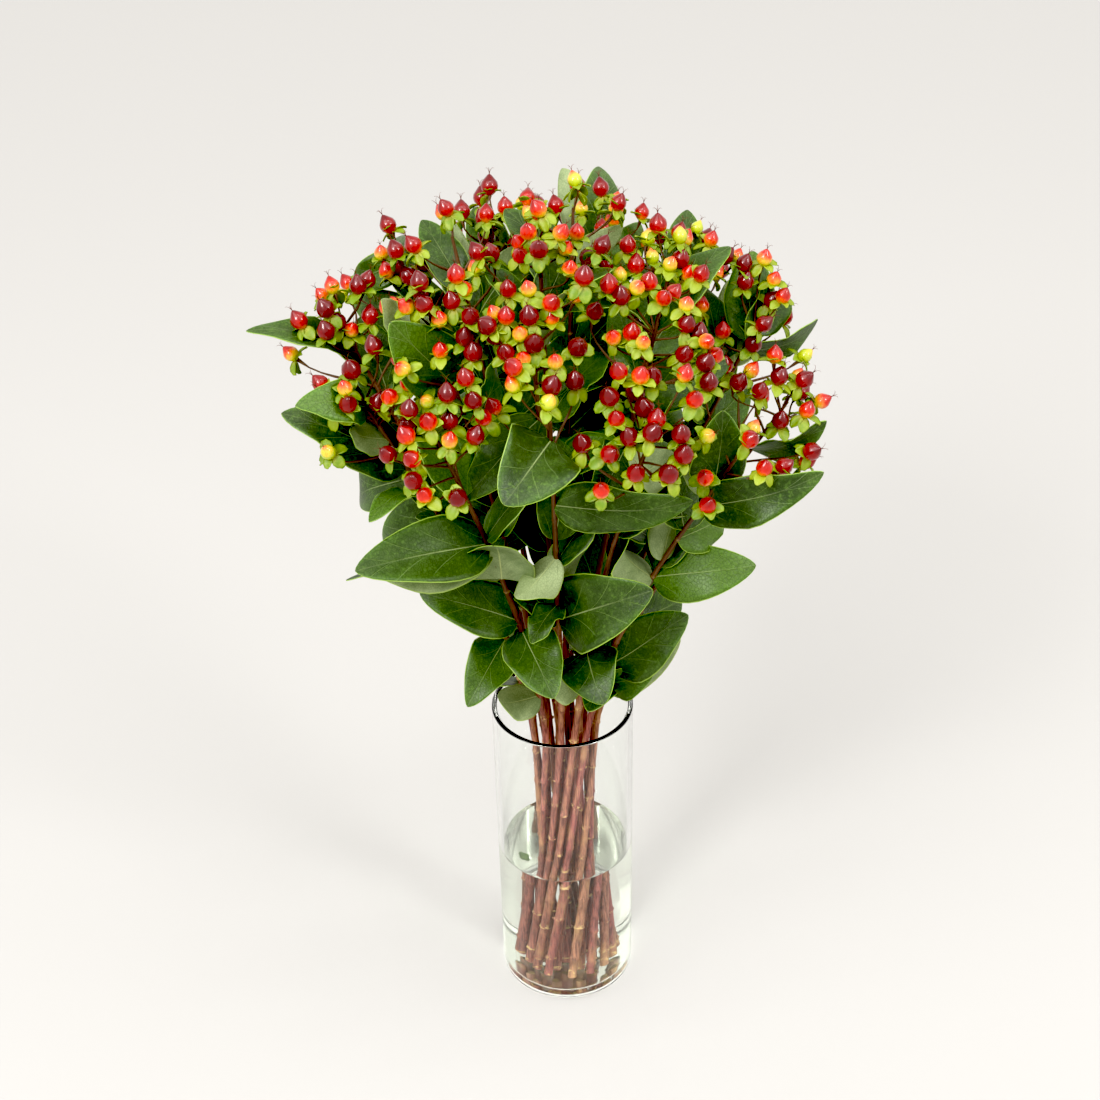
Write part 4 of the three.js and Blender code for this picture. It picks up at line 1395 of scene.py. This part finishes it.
# %% Copies of the berry
BERRY_SIZE = dict(least=0.92, most=1.04, unripe=0.76, ripening=0.27)
MOSTLY_RIPE = (0, 1, 0.75)  # the least, the most and the likeliest ripeness


def stand(origin, axis, turn=0):
    """The place of a copy whose own upright lies along an axis."""
    lean = Vector((0, 0, 1)).rotation_difference(Vector(axis.tolist())).to_matrix().to_4x4()
    return Matrix.Translation(origin.tolist()) @ lean @ Matrix.Rotation(turn, 4, "Z")


def berry_copy(stalk, chance):
    """A copy on its stalk, as ripe as the stalk says or as chance does; unripe berries are smaller."""
    ripe = stalk.get("ripe", chance.triangular(*MOSTLY_RIPE))
    scale = chance.uniform(BERRY_SIZE["least"], BERRY_SIZE["most"])
    scale *= BERRY_SIZE["unripe"] + BERRY_SIZE["ripening"] * ripe
    mesh = BERRY_MODEL.data.copy()
    turn = chance.uniform(0, 2 * math.pi)
    mesh.transform(stand(stalk["end"], stalk["axis"], turn) @ Matrix.Scale(scale, 4))
    set_attribute(mesh, "ripe", ripe)
    return link_copy("berry", mesh)


def hang_berries():
    chance = random.Random(SEEDS["berries"])
    for stem in STEMS:
        copies = [berry_copy(stalk, chance) for stalk in HEADS[stem]]
        settle(join(f"{node_name(stem)}_berries", copies), node_name(stem))


hang_berries()
bpy.data.objects.remove(BERRY_MODEL)
print("berries: one piece for each stem")

# %% [markdown]
# ## Sepals
#
# Under each berry five small leafy sepals stay from the flower. They are yellow-green, paler at the root and
# cupped like spoons. Most of them stand out or hang back, and about one in five still holds the berry. One
# sepal is bent from the same kind of slab as a leaf and copied five times round each stalk's end, each at its
# own lift.

# %% Sepals
SEPAL = dict(length=10.6 * MM, width=8 * MM, root=0.9 * MM, tip=1.5 * MM, thickness=0.35 * MM)
SEPAL_FORM = dict(blunt=1.25, full=0.5, cup=1.1 * MM, arch=0.9 * MM, hook=1.4 * MM)
SEPAL_TONES = dict(
    deep=(100, 130, 36), fresh=(142, 160, 50), cloud=(164, 172, 70), root=(204, 190, 116),
    edge=(108, 124, 44),
)


def sepal_skin():
    finish = Finish("sepal", roughness=0.5)
    edge = finish.attribute("edge")
    clouds = finish.noise(finish.places(), 240, 3, 0.6)
    pale = 1 - finish.attribute("along").between(0.05, 0.5)
    tones = colour(*SEPAL_TONES["deep"]), colour(*SEPAL_TONES["fresh"])
    green = finish.coats(
        finish.blend(finish.attribute("tint"), *tones),
        (clouds.between(0.4, 0.7) * 0.45, SEPAL_TONES["cloud"]),
        (pale * 0.55, SEPAL_TONES["root"]),
        (edge.between(0.8, 1.0) * 0.4, SEPAL_TONES["edge"]),
    )
    finish.drive("Base Color", green)
    finish.drive("Roughness", 0.42 + clouds * 0.2)
    finish.drive("Normal", finish.bump(clouds, strength=0.3, distance=0.4 * MM))
    return finish.material


def model_sepal():
    skin = sepal_skin()
    sepal = flat_blade("sepal", columns=4, rows=6, upper=skin, under=skin)
    slab = coordinates_of(sepal.data)
    along = along_slab(slab)
    half = SEPAL["width"] / 2 * np.sin(np.pi * along ** SEPAL_FORM["blunt"]).clip(0) ** SEPAL_FORM["full"]
    half = np.maximum(half, np.where(along < 0.5, SEPAL["root"], SEPAL["tip"]))
    lift = SEPAL_FORM["cup"] * slab[:, 0] ** 2 + SEPAL_FORM["arch"] * np.sin(np.pi * along)
    lift = lift - SEPAL_FORM["hook"] * along**3 + slab[:, 2] * SEPAL["thickness"] / 2
    places = np.column_stack([slab[:, 0] * half, along * SEPAL["length"], lift])
    sepal.data.vertices.foreach_set("co", places.ravel())
    set_attribute(sepal.data, "edge", abs(slab[:, 0]))
    set_attribute(sepal.data, "along", along)
    return sepal


SEPAL_MODEL = model_sepal()
print("sepal:", len(SEPAL_MODEL.data.polygons), "faces")

# %% Copies of the sepal
CALYX = dict(count=5, inset=0.6 * MM, holding=0.2, stray=0.2, least=0.75, most=1.05)
SEPAL_LIFTS = dict(holding=(20, 50), spread=(-50, 8))  # degrees above the berry's foot


def sepal_copies(stalk, chance):
    """Five sepals round the foot of one berry."""
    start = chance.uniform(0, 2 * math.pi)
    calyx = stand(stalk["end"] + stalk["axis"] * CALYX["inset"], stalk["axis"])
    tint = chance.uniform(0, 1)
    made = []
    for number in range(CALYX["count"]):
        way = "holding" if chance.random() < CALYX["holding"] else "spread"
        lift = math.radians(chance.uniform(*SEPAL_LIFTS[way]))
        stray = chance.uniform(-CALYX["stray"], CALYX["stray"])
        turn = start + 2 * math.pi * number / CALYX["count"] + stray
        size = Matrix.Scale(chance.uniform(CALYX["least"], CALYX["most"]), 4)
        mesh = SEPAL_MODEL.data.copy()
        mesh.transform(calyx @ Matrix.Rotation(turn, 4, "Z") @ Matrix.Rotation(lift, 4, "X") @ size)
        set_attribute(mesh, "tint", tint)
        made.append(link_copy("sepal", mesh))
    return made


def grow_sepals():
    chance = random.Random(SEEDS["sepals"])
    for stem in STEMS:
        copies = [copy for stalk in HEADS[stem] for copy in sepal_copies(stalk, chance)]
        settle(join(f"{node_name(stem)}_sepals", copies), node_name(stem))


grow_sepals()
bpy.data.objects.remove(SEPAL_MODEL)
print("sepals:", CALYX["count"] * sum(map(len, HEADS)))

# %% [markdown]
# ## Wood
#
# The stems are straight red-brown canes, a little swollen at every node where a pair of leaves was stripped.
# Some nodes keep a pale scar or a stub, and the foot is cut slantwise, bare and pale. The stalks of the
# heads are thinner and browner and bow outwards. All of one stem's wood is one curve object with a spline
# for the cane and one for each stalk. A radius at each point swells the nodes, and the curve becomes a mesh
# at the end, ring by ring in the same order, so that each ring can carry how pale it is.

# %% Bark
BARK_TONES = dict(
    cold_dark=(92, 46, 46), warm_dark=(100, 64, 52), cold_light=(160, 92, 86), warm_light=(176, 124, 96),
    patch=(186, 142, 100), young=(88, 66, 46), speck=(78, 36, 28), scar=(212, 182, 124),
)
CUT_TONES = dict(light=(222, 198, 128), dark=(176, 132, 74))
ALONG_CANE = dict(grain=(1, 1, 0.06), patch=(1, 1, 0.35))


def bark():
    finish = Finish("bark", roughness=0.55)
    scar = finish.attribute("scar")
    young = finish.attribute("young")
    warmth = finish.attribute("warmth")
    grain = finish.noise(finish.places(ALONG_CANE["grain"]), 900, 3, 0.6)
    patches = finish.noise(finish.places(ALONG_CANE["patch"]), 70, 3, 0.6)
    specks = finish.noise(finish.places(), 1400, 1, 0.5)
    torn = finish.noise(finish.places(), 330, 2, 0.6)
    pale = scar * torn.between(0.42, 0.6) * (1 - young * 0.5)
    tones = {name: colour(*tone) for name, tone in BARK_TONES.items()}
    dark = finish.blend(warmth, tones["cold_dark"], tones["warm_dark"])
    light = finish.blend(warmth, tones["cold_light"], tones["warm_light"])
    red = finish.coats(
        finish.blend(grain.between(0.3, 0.7), dark, light),
        (patches.between(0.5, 0.7) * 0.65, BARK_TONES["patch"]),
        (young * 0.85, BARK_TONES["young"]),
        (specks.between(0.62, 0.75) * 0.4, BARK_TONES["speck"]),
        (pale.between(0.1, 0.7) * 0.85, BARK_TONES["scar"]),
    )
    finish.drive("Base Color", red)
    finish.drive("Roughness", 0.42 + grain * 0.25)
    finish.drive("Normal", finish.bump(grain + patches - specks * 0.3, strength=0.4, distance=0.5 * MM))
    return finish.material


def cut_wood():
    finish = Finish("cut_wood", roughness=0.7)
    grain = finish.noise(finish.places(), 1100, 2, 0.6)
    tones = colour(*CUT_TONES["light"]), colour(*CUT_TONES["dark"])
    finish.drive("Base Color", finish.blend(grain, *tones))
    return finish.material


BARK = bark()
CUT_WOOD = cut_wood()
print("finishes:", BARK.name, CUT_WOOD.name)


# %% Canes
NODES = dict(first=14 * MM, spacing=33 * MM, jitter=8 * MM, half=1.6 * MM, swell=1.25, fade=1.6)
CORNER = 14 * MM
CUT_EDGE = 0.4 * MM


def rounded(path):
    """A function of the distance along a path, with its corners eased over a short stretch."""
    runs = [np.linalg.norm(end - start) for start, end in zip(path, path[1:])]
    marks = np.concatenate([[0], np.cumsum(runs)])

    def on_line(distance):
        return np.array([np.interp(distance, marks, values) for values in zip(*path)])

    def at(distance):
        near = min(CORNER, distance, marks[-1] - distance)
        return (on_line(distance - near) + 2 * on_line(distance) + on_line(distance + near)) / 4

    return at, marks[-1], marks[1]


def node_marks(length, chance):
    """Places along a cane, each with how thick and how pale the cane is there."""
    half = NODES["half"]
    marks = [(0, 1, 1), (CUT_EDGE, 1, 0)]  # pale at the cut alone
    place = NODES["first"] * chance.uniform(0.5, 1.5)
    while place < length - 6 * half:
        pale = chance.uniform(0.1, 1) ** NODES["fade"]
        marks += [(place - half, 1, 0.3 * pale), (place, NODES["swell"], pale)]
        marks += [(place + half, 1.04, 0.5 * pale), (place + 4 * half, 1, 0)]
        place += NODES["spacing"] + chance.uniform(-1, 1) * NODES["jitter"]
    return marks + [(length, 0.75, 0)]


def cane_rings(path, chance):
    """The rings of a cane: its points, its radii, and how pale and how young each of them is."""
    at, length, neck = rounded(path)
    made = []
    for distance, swell, scar in node_marks(length, chance):
        above = (distance - neck) / (length - neck)
        if distance < neck:
            radius = between(STEM["foot"], STEM["neck"], distance / neck)
        else:
            radius = between(STEM["neck"], STEM["top"], above)
        young = min(max(above * 2, 0), 1)
        made.append((at(distance), radius * swell, scar, young))
    return made


print("canes: up to", round(max(rounded(path)[1] for path in PATHS), 3), "m long")

# %% [markdown]
# ## Stubs at the nodes
#
# Where a leaf was stripped from a cane, a short pale stub may stay on its side. The cane's curve can only
# swell all round, so the stub is a piece of its own: one small ball, flattened and pulled out sideways in
# edit mode, whose copies stand at the nodes in pairs, each pair square to the last.

# %% Stubs
KNOB = dict(radius=0.85 * MM, share=0.4, flat=(1.15, 1.5, 0.8), tip=(1, 0.6, 0.6), out=0.3, up=0.6)
KNOB_PLACE = dict(sunk=0.85, stray=0.3, least=0.6, most=1.2)
KNOB_LOOK = dict(scar=0.6, young=0, warmth=0.9)
BARE = dict(pale=0.1, young=0.5)


def model_knob():
    """The pale stub that a stripped leaf leaves: a ball drawn out sideways and up."""
    bpy.ops.object.select_all(action="DESELECT")
    bpy.ops.mesh.primitive_ico_sphere_add(subdivisions=2, radius=KNOB["radius"])
    knob = bpy.context.object
    bpy.ops.object.mode_set(mode="EDIT")
    bpy.ops.transform.resize(value=KNOB["flat"])
    select(knob, "VERT", lambda vertex: vertex.co.x > KNOB["radius"] / 2)
    bpy.ops.transform.resize(value=KNOB["tip"])
    bpy.ops.transform.translate(value=(KNOB["radius"] * KNOB["out"], 0, KNOB["radius"] * KNOB["up"]))
    bpy.ops.object.mode_set(mode="OBJECT")
    bpy.ops.object.shade_smooth()
    knob.data.materials.append(BARK)
    for name, value in KNOB_LOOK.items():
        set_attribute(knob.data, name, value)
    return knob


KNOB_MODEL = model_knob()
print("stub:", len(KNOB_MODEL.data.polygons), "faces")


def knobs_of(rings, chance):
    """Up to two stubs at each of a cane's nodes, each pair square to the last."""
    made = []
    turn = chance.uniform(0, math.pi)
    pairs = zip(rings, rings[1:])
    nodes = [ring for before, ring in pairs if ring[2] > BARE["pale"] and before[2] < ring[2]]
    for place, radius, _, young in nodes[1:]:
        turn += math.pi / 2
        for side in (0, math.pi):
            if chance.random() < KNOB["share"] and young < BARE["young"]:
                stray = chance.uniform(-KNOB_PLACE["stray"], KNOB_PLACE["stray"])
                size = Matrix.Scale(chance.uniform(KNOB_PLACE["least"], KNOB_PLACE["most"]), 4)
                spin = Matrix.Rotation(turn + side + stray, 4, "Z")
                out = Matrix.Translation((radius * KNOB_PLACE["sunk"], 0, 0))
                mesh = KNOB_MODEL.data.copy()
                mesh.transform(Matrix.Translation(place) @ spin @ out @ size)
                made.append(link_copy("knob", mesh))
    return made

# %% [markdown]
# ## Stalks and tubes
#
# Each stalk is a row of rings along its bowed curve, thick where it forks and widened to a cup under the
# berry. The rings of a cane and of all its stalks go into one curve object, whose round bevel makes the
# tubes. Skinning each tube by hand would allow finer joints, but they are hidden among the sepals.

# %% Stalks
STALK = dict(root=0.85 * MM, middle=0.55 * MM, cup=1.4 * MM, cup_depth=0.9 * MM, points=7)
FORK_SWELL = dict(near=0.1, swell=1.5)


def stalk_rings(stalk):
    """The rings of a stalk, thick where it forks and widened to a cup under its berry."""
    made = []
    for part in np.linspace(0, 1, STALK["points"]):
        radius = between(STALK["root"], STALK["middle"], min(part * 2, 1))
        if stalk["forks"] and abs(part - FORK["at"]) < FORK_SWELL["near"]:
            radius *= FORK_SWELL["swell"]
        made.append((stalk_point(stalk, part), radius, 0, 1))
    made[-1] = (made[-1][0], STALK["cup"], 0, 1)
    made.append((stalk["end"] + stalk["axis"] * STALK["cup_depth"], STALK["cup"] * 0.8, 0, 1))
    return made


print("stalk:", len(stalk_rings(HEADS[0][0])), "rings")

# %% Wood of a stem
CUT = dict(heading=-90, stray=50, slope=(0.6, 1.7))
STALK_WARMTH = 0.8
SHARP = 50  # degrees between two faces from which an edge stays sharp


def cut_foot(wood, rings, sides, chance):
    """Slants the foot of a cane and gives the face that the cut bared its own finish."""
    foot, above = rings[0][0], rings[3][0]
    axis = unit(above - foot)
    turn = math.radians(chance.gauss(CUT["heading"], CUT["stray"]))
    side = np.array([math.cos(turn), math.sin(turn), 0])
    slope = chance.uniform(*CUT["slope"])
    for vertex in wood.data.vertices[:sides]:
        offset = float(np.dot(np.array(vertex.co) - foot, side))
        vertex.co += Vector(axis * (offset + STEM["foot"]) * slope)
    wood.data.materials.append(BARK)
    wood.data.materials.append(CUT_WOOD)
    for face in wood.data.polygons:
        face.material_index = int(all(corner < sides for corner in face.vertices))


def tubes_of(name, rows):
    """One mesh of closed tubes, one for each row of rings, with the rings in the same order."""
    piece = tube(name, 1, 2)
    for rings in rows:
        spline = piece.data.splines.new("POLY")
        spline.points.add(len(rings) - 1)
        spline.use_smooth = True
        for point, (place, radius, _, _) in zip(spline.points, rings):
            point.co = (*place, 1)
            point.radius = radius
    only(piece)
    bpy.ops.object.convert(target="MESH")
    bpy.ops.object.mode_set(mode="EDIT")
    bpy.ops.mesh.select_all(action="SELECT")
    bpy.ops.mesh.fill_holes(sides=0)
    bpy.ops.object.mode_set(mode="OBJECT")
    return bpy.context.object


def wood_of(stem, chance):
    """A stem's cane and stalks, with the cut at its foot and the stubs at its nodes."""
    cane = cane_rings(PATHS[stem], chance)
    stalks = [stalk_rings(stalk) for stalk in HEADS[stem]]
    wood = tubes_of(f"{node_name(stem)}_wood", [cane, *stalks])
    rings = sum(stalks, cane)
    sides = len(wood.data.vertices) // len(rings)
    warmth = [chance.uniform(0, 1)] * len(cane) + [STALK_WARMTH] * (len(rings) - len(cane))
    set_attribute(wood.data, "scar", np.repeat([ring[2] for ring in rings], sides))
    set_attribute(wood.data, "young", np.repeat([ring[3] for ring in rings], sides))
    set_attribute(wood.data, "warmth", np.repeat(warmth, sides))
    cut_foot(wood, cane, sides, chance)
    bpy.ops.object.shade_smooth_by_angle(angle=math.radians(SHARP))
    return join(wood.name, [wood, *knobs_of(cane, chance)])


def grow_wood():
    chance = random.Random(SEEDS["wood"])
    for stem in STEMS:
        wood = settle(wood_of(stem, chance), node_name(stem))
    print("wood:", len(wood.data.polygons), "faces on the last stem")


grow_wood()
bpy.data.objects.remove(KNOB_MODEL)

# %% [markdown]
# ## Vase and water
#
# The vase is a plain glass cylinder: a 3.5 mm wall, a thick flat floor and a melted, rounded rim. Modelled
# from a cylinder, its hollow is an inset of the top face pushed down to the floor, and bevels round its
# rims. Its base is pushed up a little, so that it stands on a ring with air below the rest. Light has to
# pass it to reach the water and the stems, so to shadow rays the glass is nearly clear. The water's skin
# lies a hair inside the glass, because an air gap between them would mirror, and it rises in a small
# meniscus at the wall.

# %% Clear finishes
GLASS = dict(tint=(0.985, 0.995, 0.985, 1), shadow=(0.985, 0.99, 0.985, 1), ior=1.46)
WATER = dict(tint=(0.905, 0.925, 0.865, 1), shadow=(0.98, 0.99, 0.98, 1), ior=1.33)


def clear_finish(name, tint, shadow, ior):
    """Glass or water, which lets the lamps' light through in its tint."""
    finish = Finish(name, base_color=tint, roughness=0.0, transmission_weight=1, ior=ior)
    clear = finish.node("ShaderNodeBsdfTransparent", {}, shadow)
    is_shadow = finish.node("ShaderNodeLightPath", {}, output=1)
    shader = Number(finish, finish.shader.outputs["BSDF"])
    mixed = finish.node("ShaderNodeMixShader", {}, is_shadow, shader, clear)
    finish.link(mixed, finish.tree.nodes["Material Output"].inputs["Surface"])
    return finish.material


CLEAR_GLASS = clear_finish("clear_glass", **GLASS)
CLEAR_WATER = clear_finish("water", **WATER)
print("finishes:", CLEAR_GLASS.name, CLEAR_WATER.name)

# %% Turned shapes
ROUND = 96  # sides of a circle
EDGES = dict(rim=1.2 * MM, foot=4 * MM, corner=3 * MM, segments=5)
SAME_RING = 0.2 * MM
LEVEL = 0.5  # a face counts as level if its normal rises more than this
ROUNDED_BELOW = 40  # degrees between two faces below which they shade as one


def select_level(thing, way):
    """Selects the faces that look up, or those that look down where the way is -1."""
    select(thing, "FACE", lambda face: face.normal.z * way > LEVEL)


def bevel_ring(thing, radius, height, size):
    """Rounds the edges of one ring, picked by its radius and its height."""
    def is_on_ring(end):
        off = math.hypot(end.co.x, end.co.y) - radius
        return abs(off) < SAME_RING and abs(end.co.z - height) < SAME_RING

    select(thing, "EDGE", lambda edge: all(map(is_on_ring, edge.verts)))
    bpy.ops.mesh.bevel(offset=size, segments=EDGES["segments"])


def cylinder(name, radius, low, high):
    bpy.ops.object.select_all(action="DESELECT")
    middle = (0, 0, (low + high) / 2)
    bpy.ops.mesh.primitive_cylinder_add(vertices=ROUND, radius=radius, depth=high - low, location=middle)
    bpy.ops.object.transform_apply(location=True, rotation=True, scale=True)
    piece = bpy.context.object
    piece.name = name
    return piece


def even_shading(piece):
    """Shades a flat wall as flat right up to its rounded edge, so that light passes it straight."""
    only(piece)
    bpy.ops.object.shade_smooth_by_angle(angle=math.radians(ROUNDED_BELOW))
    apply_modifier(piece, "WEIGHTED_NORMAL", keep_sharp=True)


# %% Vase
PUSH_UP = dict(ring=7 * MM, height=1.2 * MM)


def blow_vase():
    vase = cylinder("vase_glass", VASE["radius"], 0, VASE["height"])
    inside = VASE["radius"] - VASE["wall"]
    bpy.ops.object.mode_set(mode="EDIT")
    select_level(vase, 1)
    bpy.ops.mesh.inset(thickness=VASE["wall"])
    sink = {"value": (0, 0, VASE["floor"] - VASE["height"])}
    bpy.ops.mesh.extrude_region_move(TRANSFORM_OT_translate=sink)
    select_level(vase, -1)
    bpy.ops.mesh.inset(thickness=PUSH_UP["ring"])
    bpy.ops.mesh.inset(thickness=PUSH_UP["height"])
    bpy.ops.transform.translate(value=(0, 0, PUSH_UP["height"]))
    bevel_ring(vase, VASE["radius"], VASE["height"], EDGES["rim"])
    bevel_ring(vase, inside, VASE["height"], EDGES["rim"])
    bevel_ring(vase, VASE["radius"], 0, EDGES["foot"])
    bevel_ring(vase, inside, VASE["floor"], EDGES["corner"])
    bpy.ops.object.mode_set(mode="OBJECT")
    even_shading(vase)
    vase.data.materials.append(CLEAR_GLASS)
    return settle(vase, "vase")


print("vase:", len(blow_vase().data.polygons), "faces")

# %% Water
OVERLAP = 0.15 * MM
MENISCUS = [(1.05 * MM, 0.66 * MM), (1.95 * MM, 0.54 * MM)]  # the width and the depth of its two steps


def pour_water():
    inside = VASE["radius"] - VASE["wall"] + OVERLAP
    bottom = VASE["floor"] - OVERLAP
    water = cylinder("vase_water", inside, bottom, WATER_LEVEL)
    bpy.ops.object.mode_set(mode="EDIT")
    select_level(water, 1)
    for width, depth in MENISCUS:
        bpy.ops.mesh.inset(thickness=width)
        bpy.ops.transform.translate(value=(0, 0, -depth))
    bevel_ring(water, inside, bottom, EDGES["corner"])
    bpy.ops.object.mode_set(mode="OBJECT")
    even_shading(water)
    water.data.materials.append(CLEAR_WATER)
    return settle(water, "water")


print("water:", len(pour_water().data.polygons), "faces")

# %% [markdown]
# ## The leaf scrap
#
# A small torn bit of leaf floats on the water. It could be cut from a copy of a leaf, but a grid with its
# ends drawn in and given a leaf's thickness by a Solidify modifier is simpler, and it wears the same two
# finishes. It lies where the eye's line of sight to its place on the sheet meets the water.

# %% Leaf scrap
SCRAP = dict(length=11 * MM, width=6 * MM, place=(525, 855), turn=-52, sunk=0.2 * MM)
SCRAP_ENDS = dict(beyond=0.3, narrower=0.45)


def float_scrap():
    bpy.ops.object.select_all(action="DESELECT")
    bpy.ops.mesh.primitive_grid_add(x_subdivisions=6, y_subdivisions=3, size=1)
    scrap = bpy.context.object
    scrap.name = "leaf_scrap"
    bpy.ops.object.mode_set(mode="EDIT")
    bpy.ops.transform.resize(value=(SCRAP["length"], SCRAP["width"], 1))
    for end in (1, -1):
        select(scrap, "VERT", lambda vertex: vertex.co.x * end > SCRAP["length"] * SCRAP_ENDS["beyond"])
        bpy.ops.transform.resize(value=(1, SCRAP_ENDS["narrower"], 1))
    bpy.ops.object.mode_set(mode="OBJECT")
    scrap.data.materials.append(LEAF_UPPER)
    scrap.data.materials.append(LEAF_UNDER)
    apply_modifier(scrap, "SOLIDIFY", thickness=LEAF["thickness"], offset=0, material_offset=1)
    direction = sight(SCRAP["place"])
    middle = EYE + direction * (WATER_LEVEL - SCRAP["sunk"] - EYE[2]) / direction[2]
    place = Matrix.Translation(middle.tolist())
    scrap.data.transform(place @ Matrix.Rotation(math.radians(SCRAP["turn"]), 4, "Z"))
    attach(scrap, "root")
    return scrap


print("leaf scrap:", len(float_scrap().data.polygons), "faces")
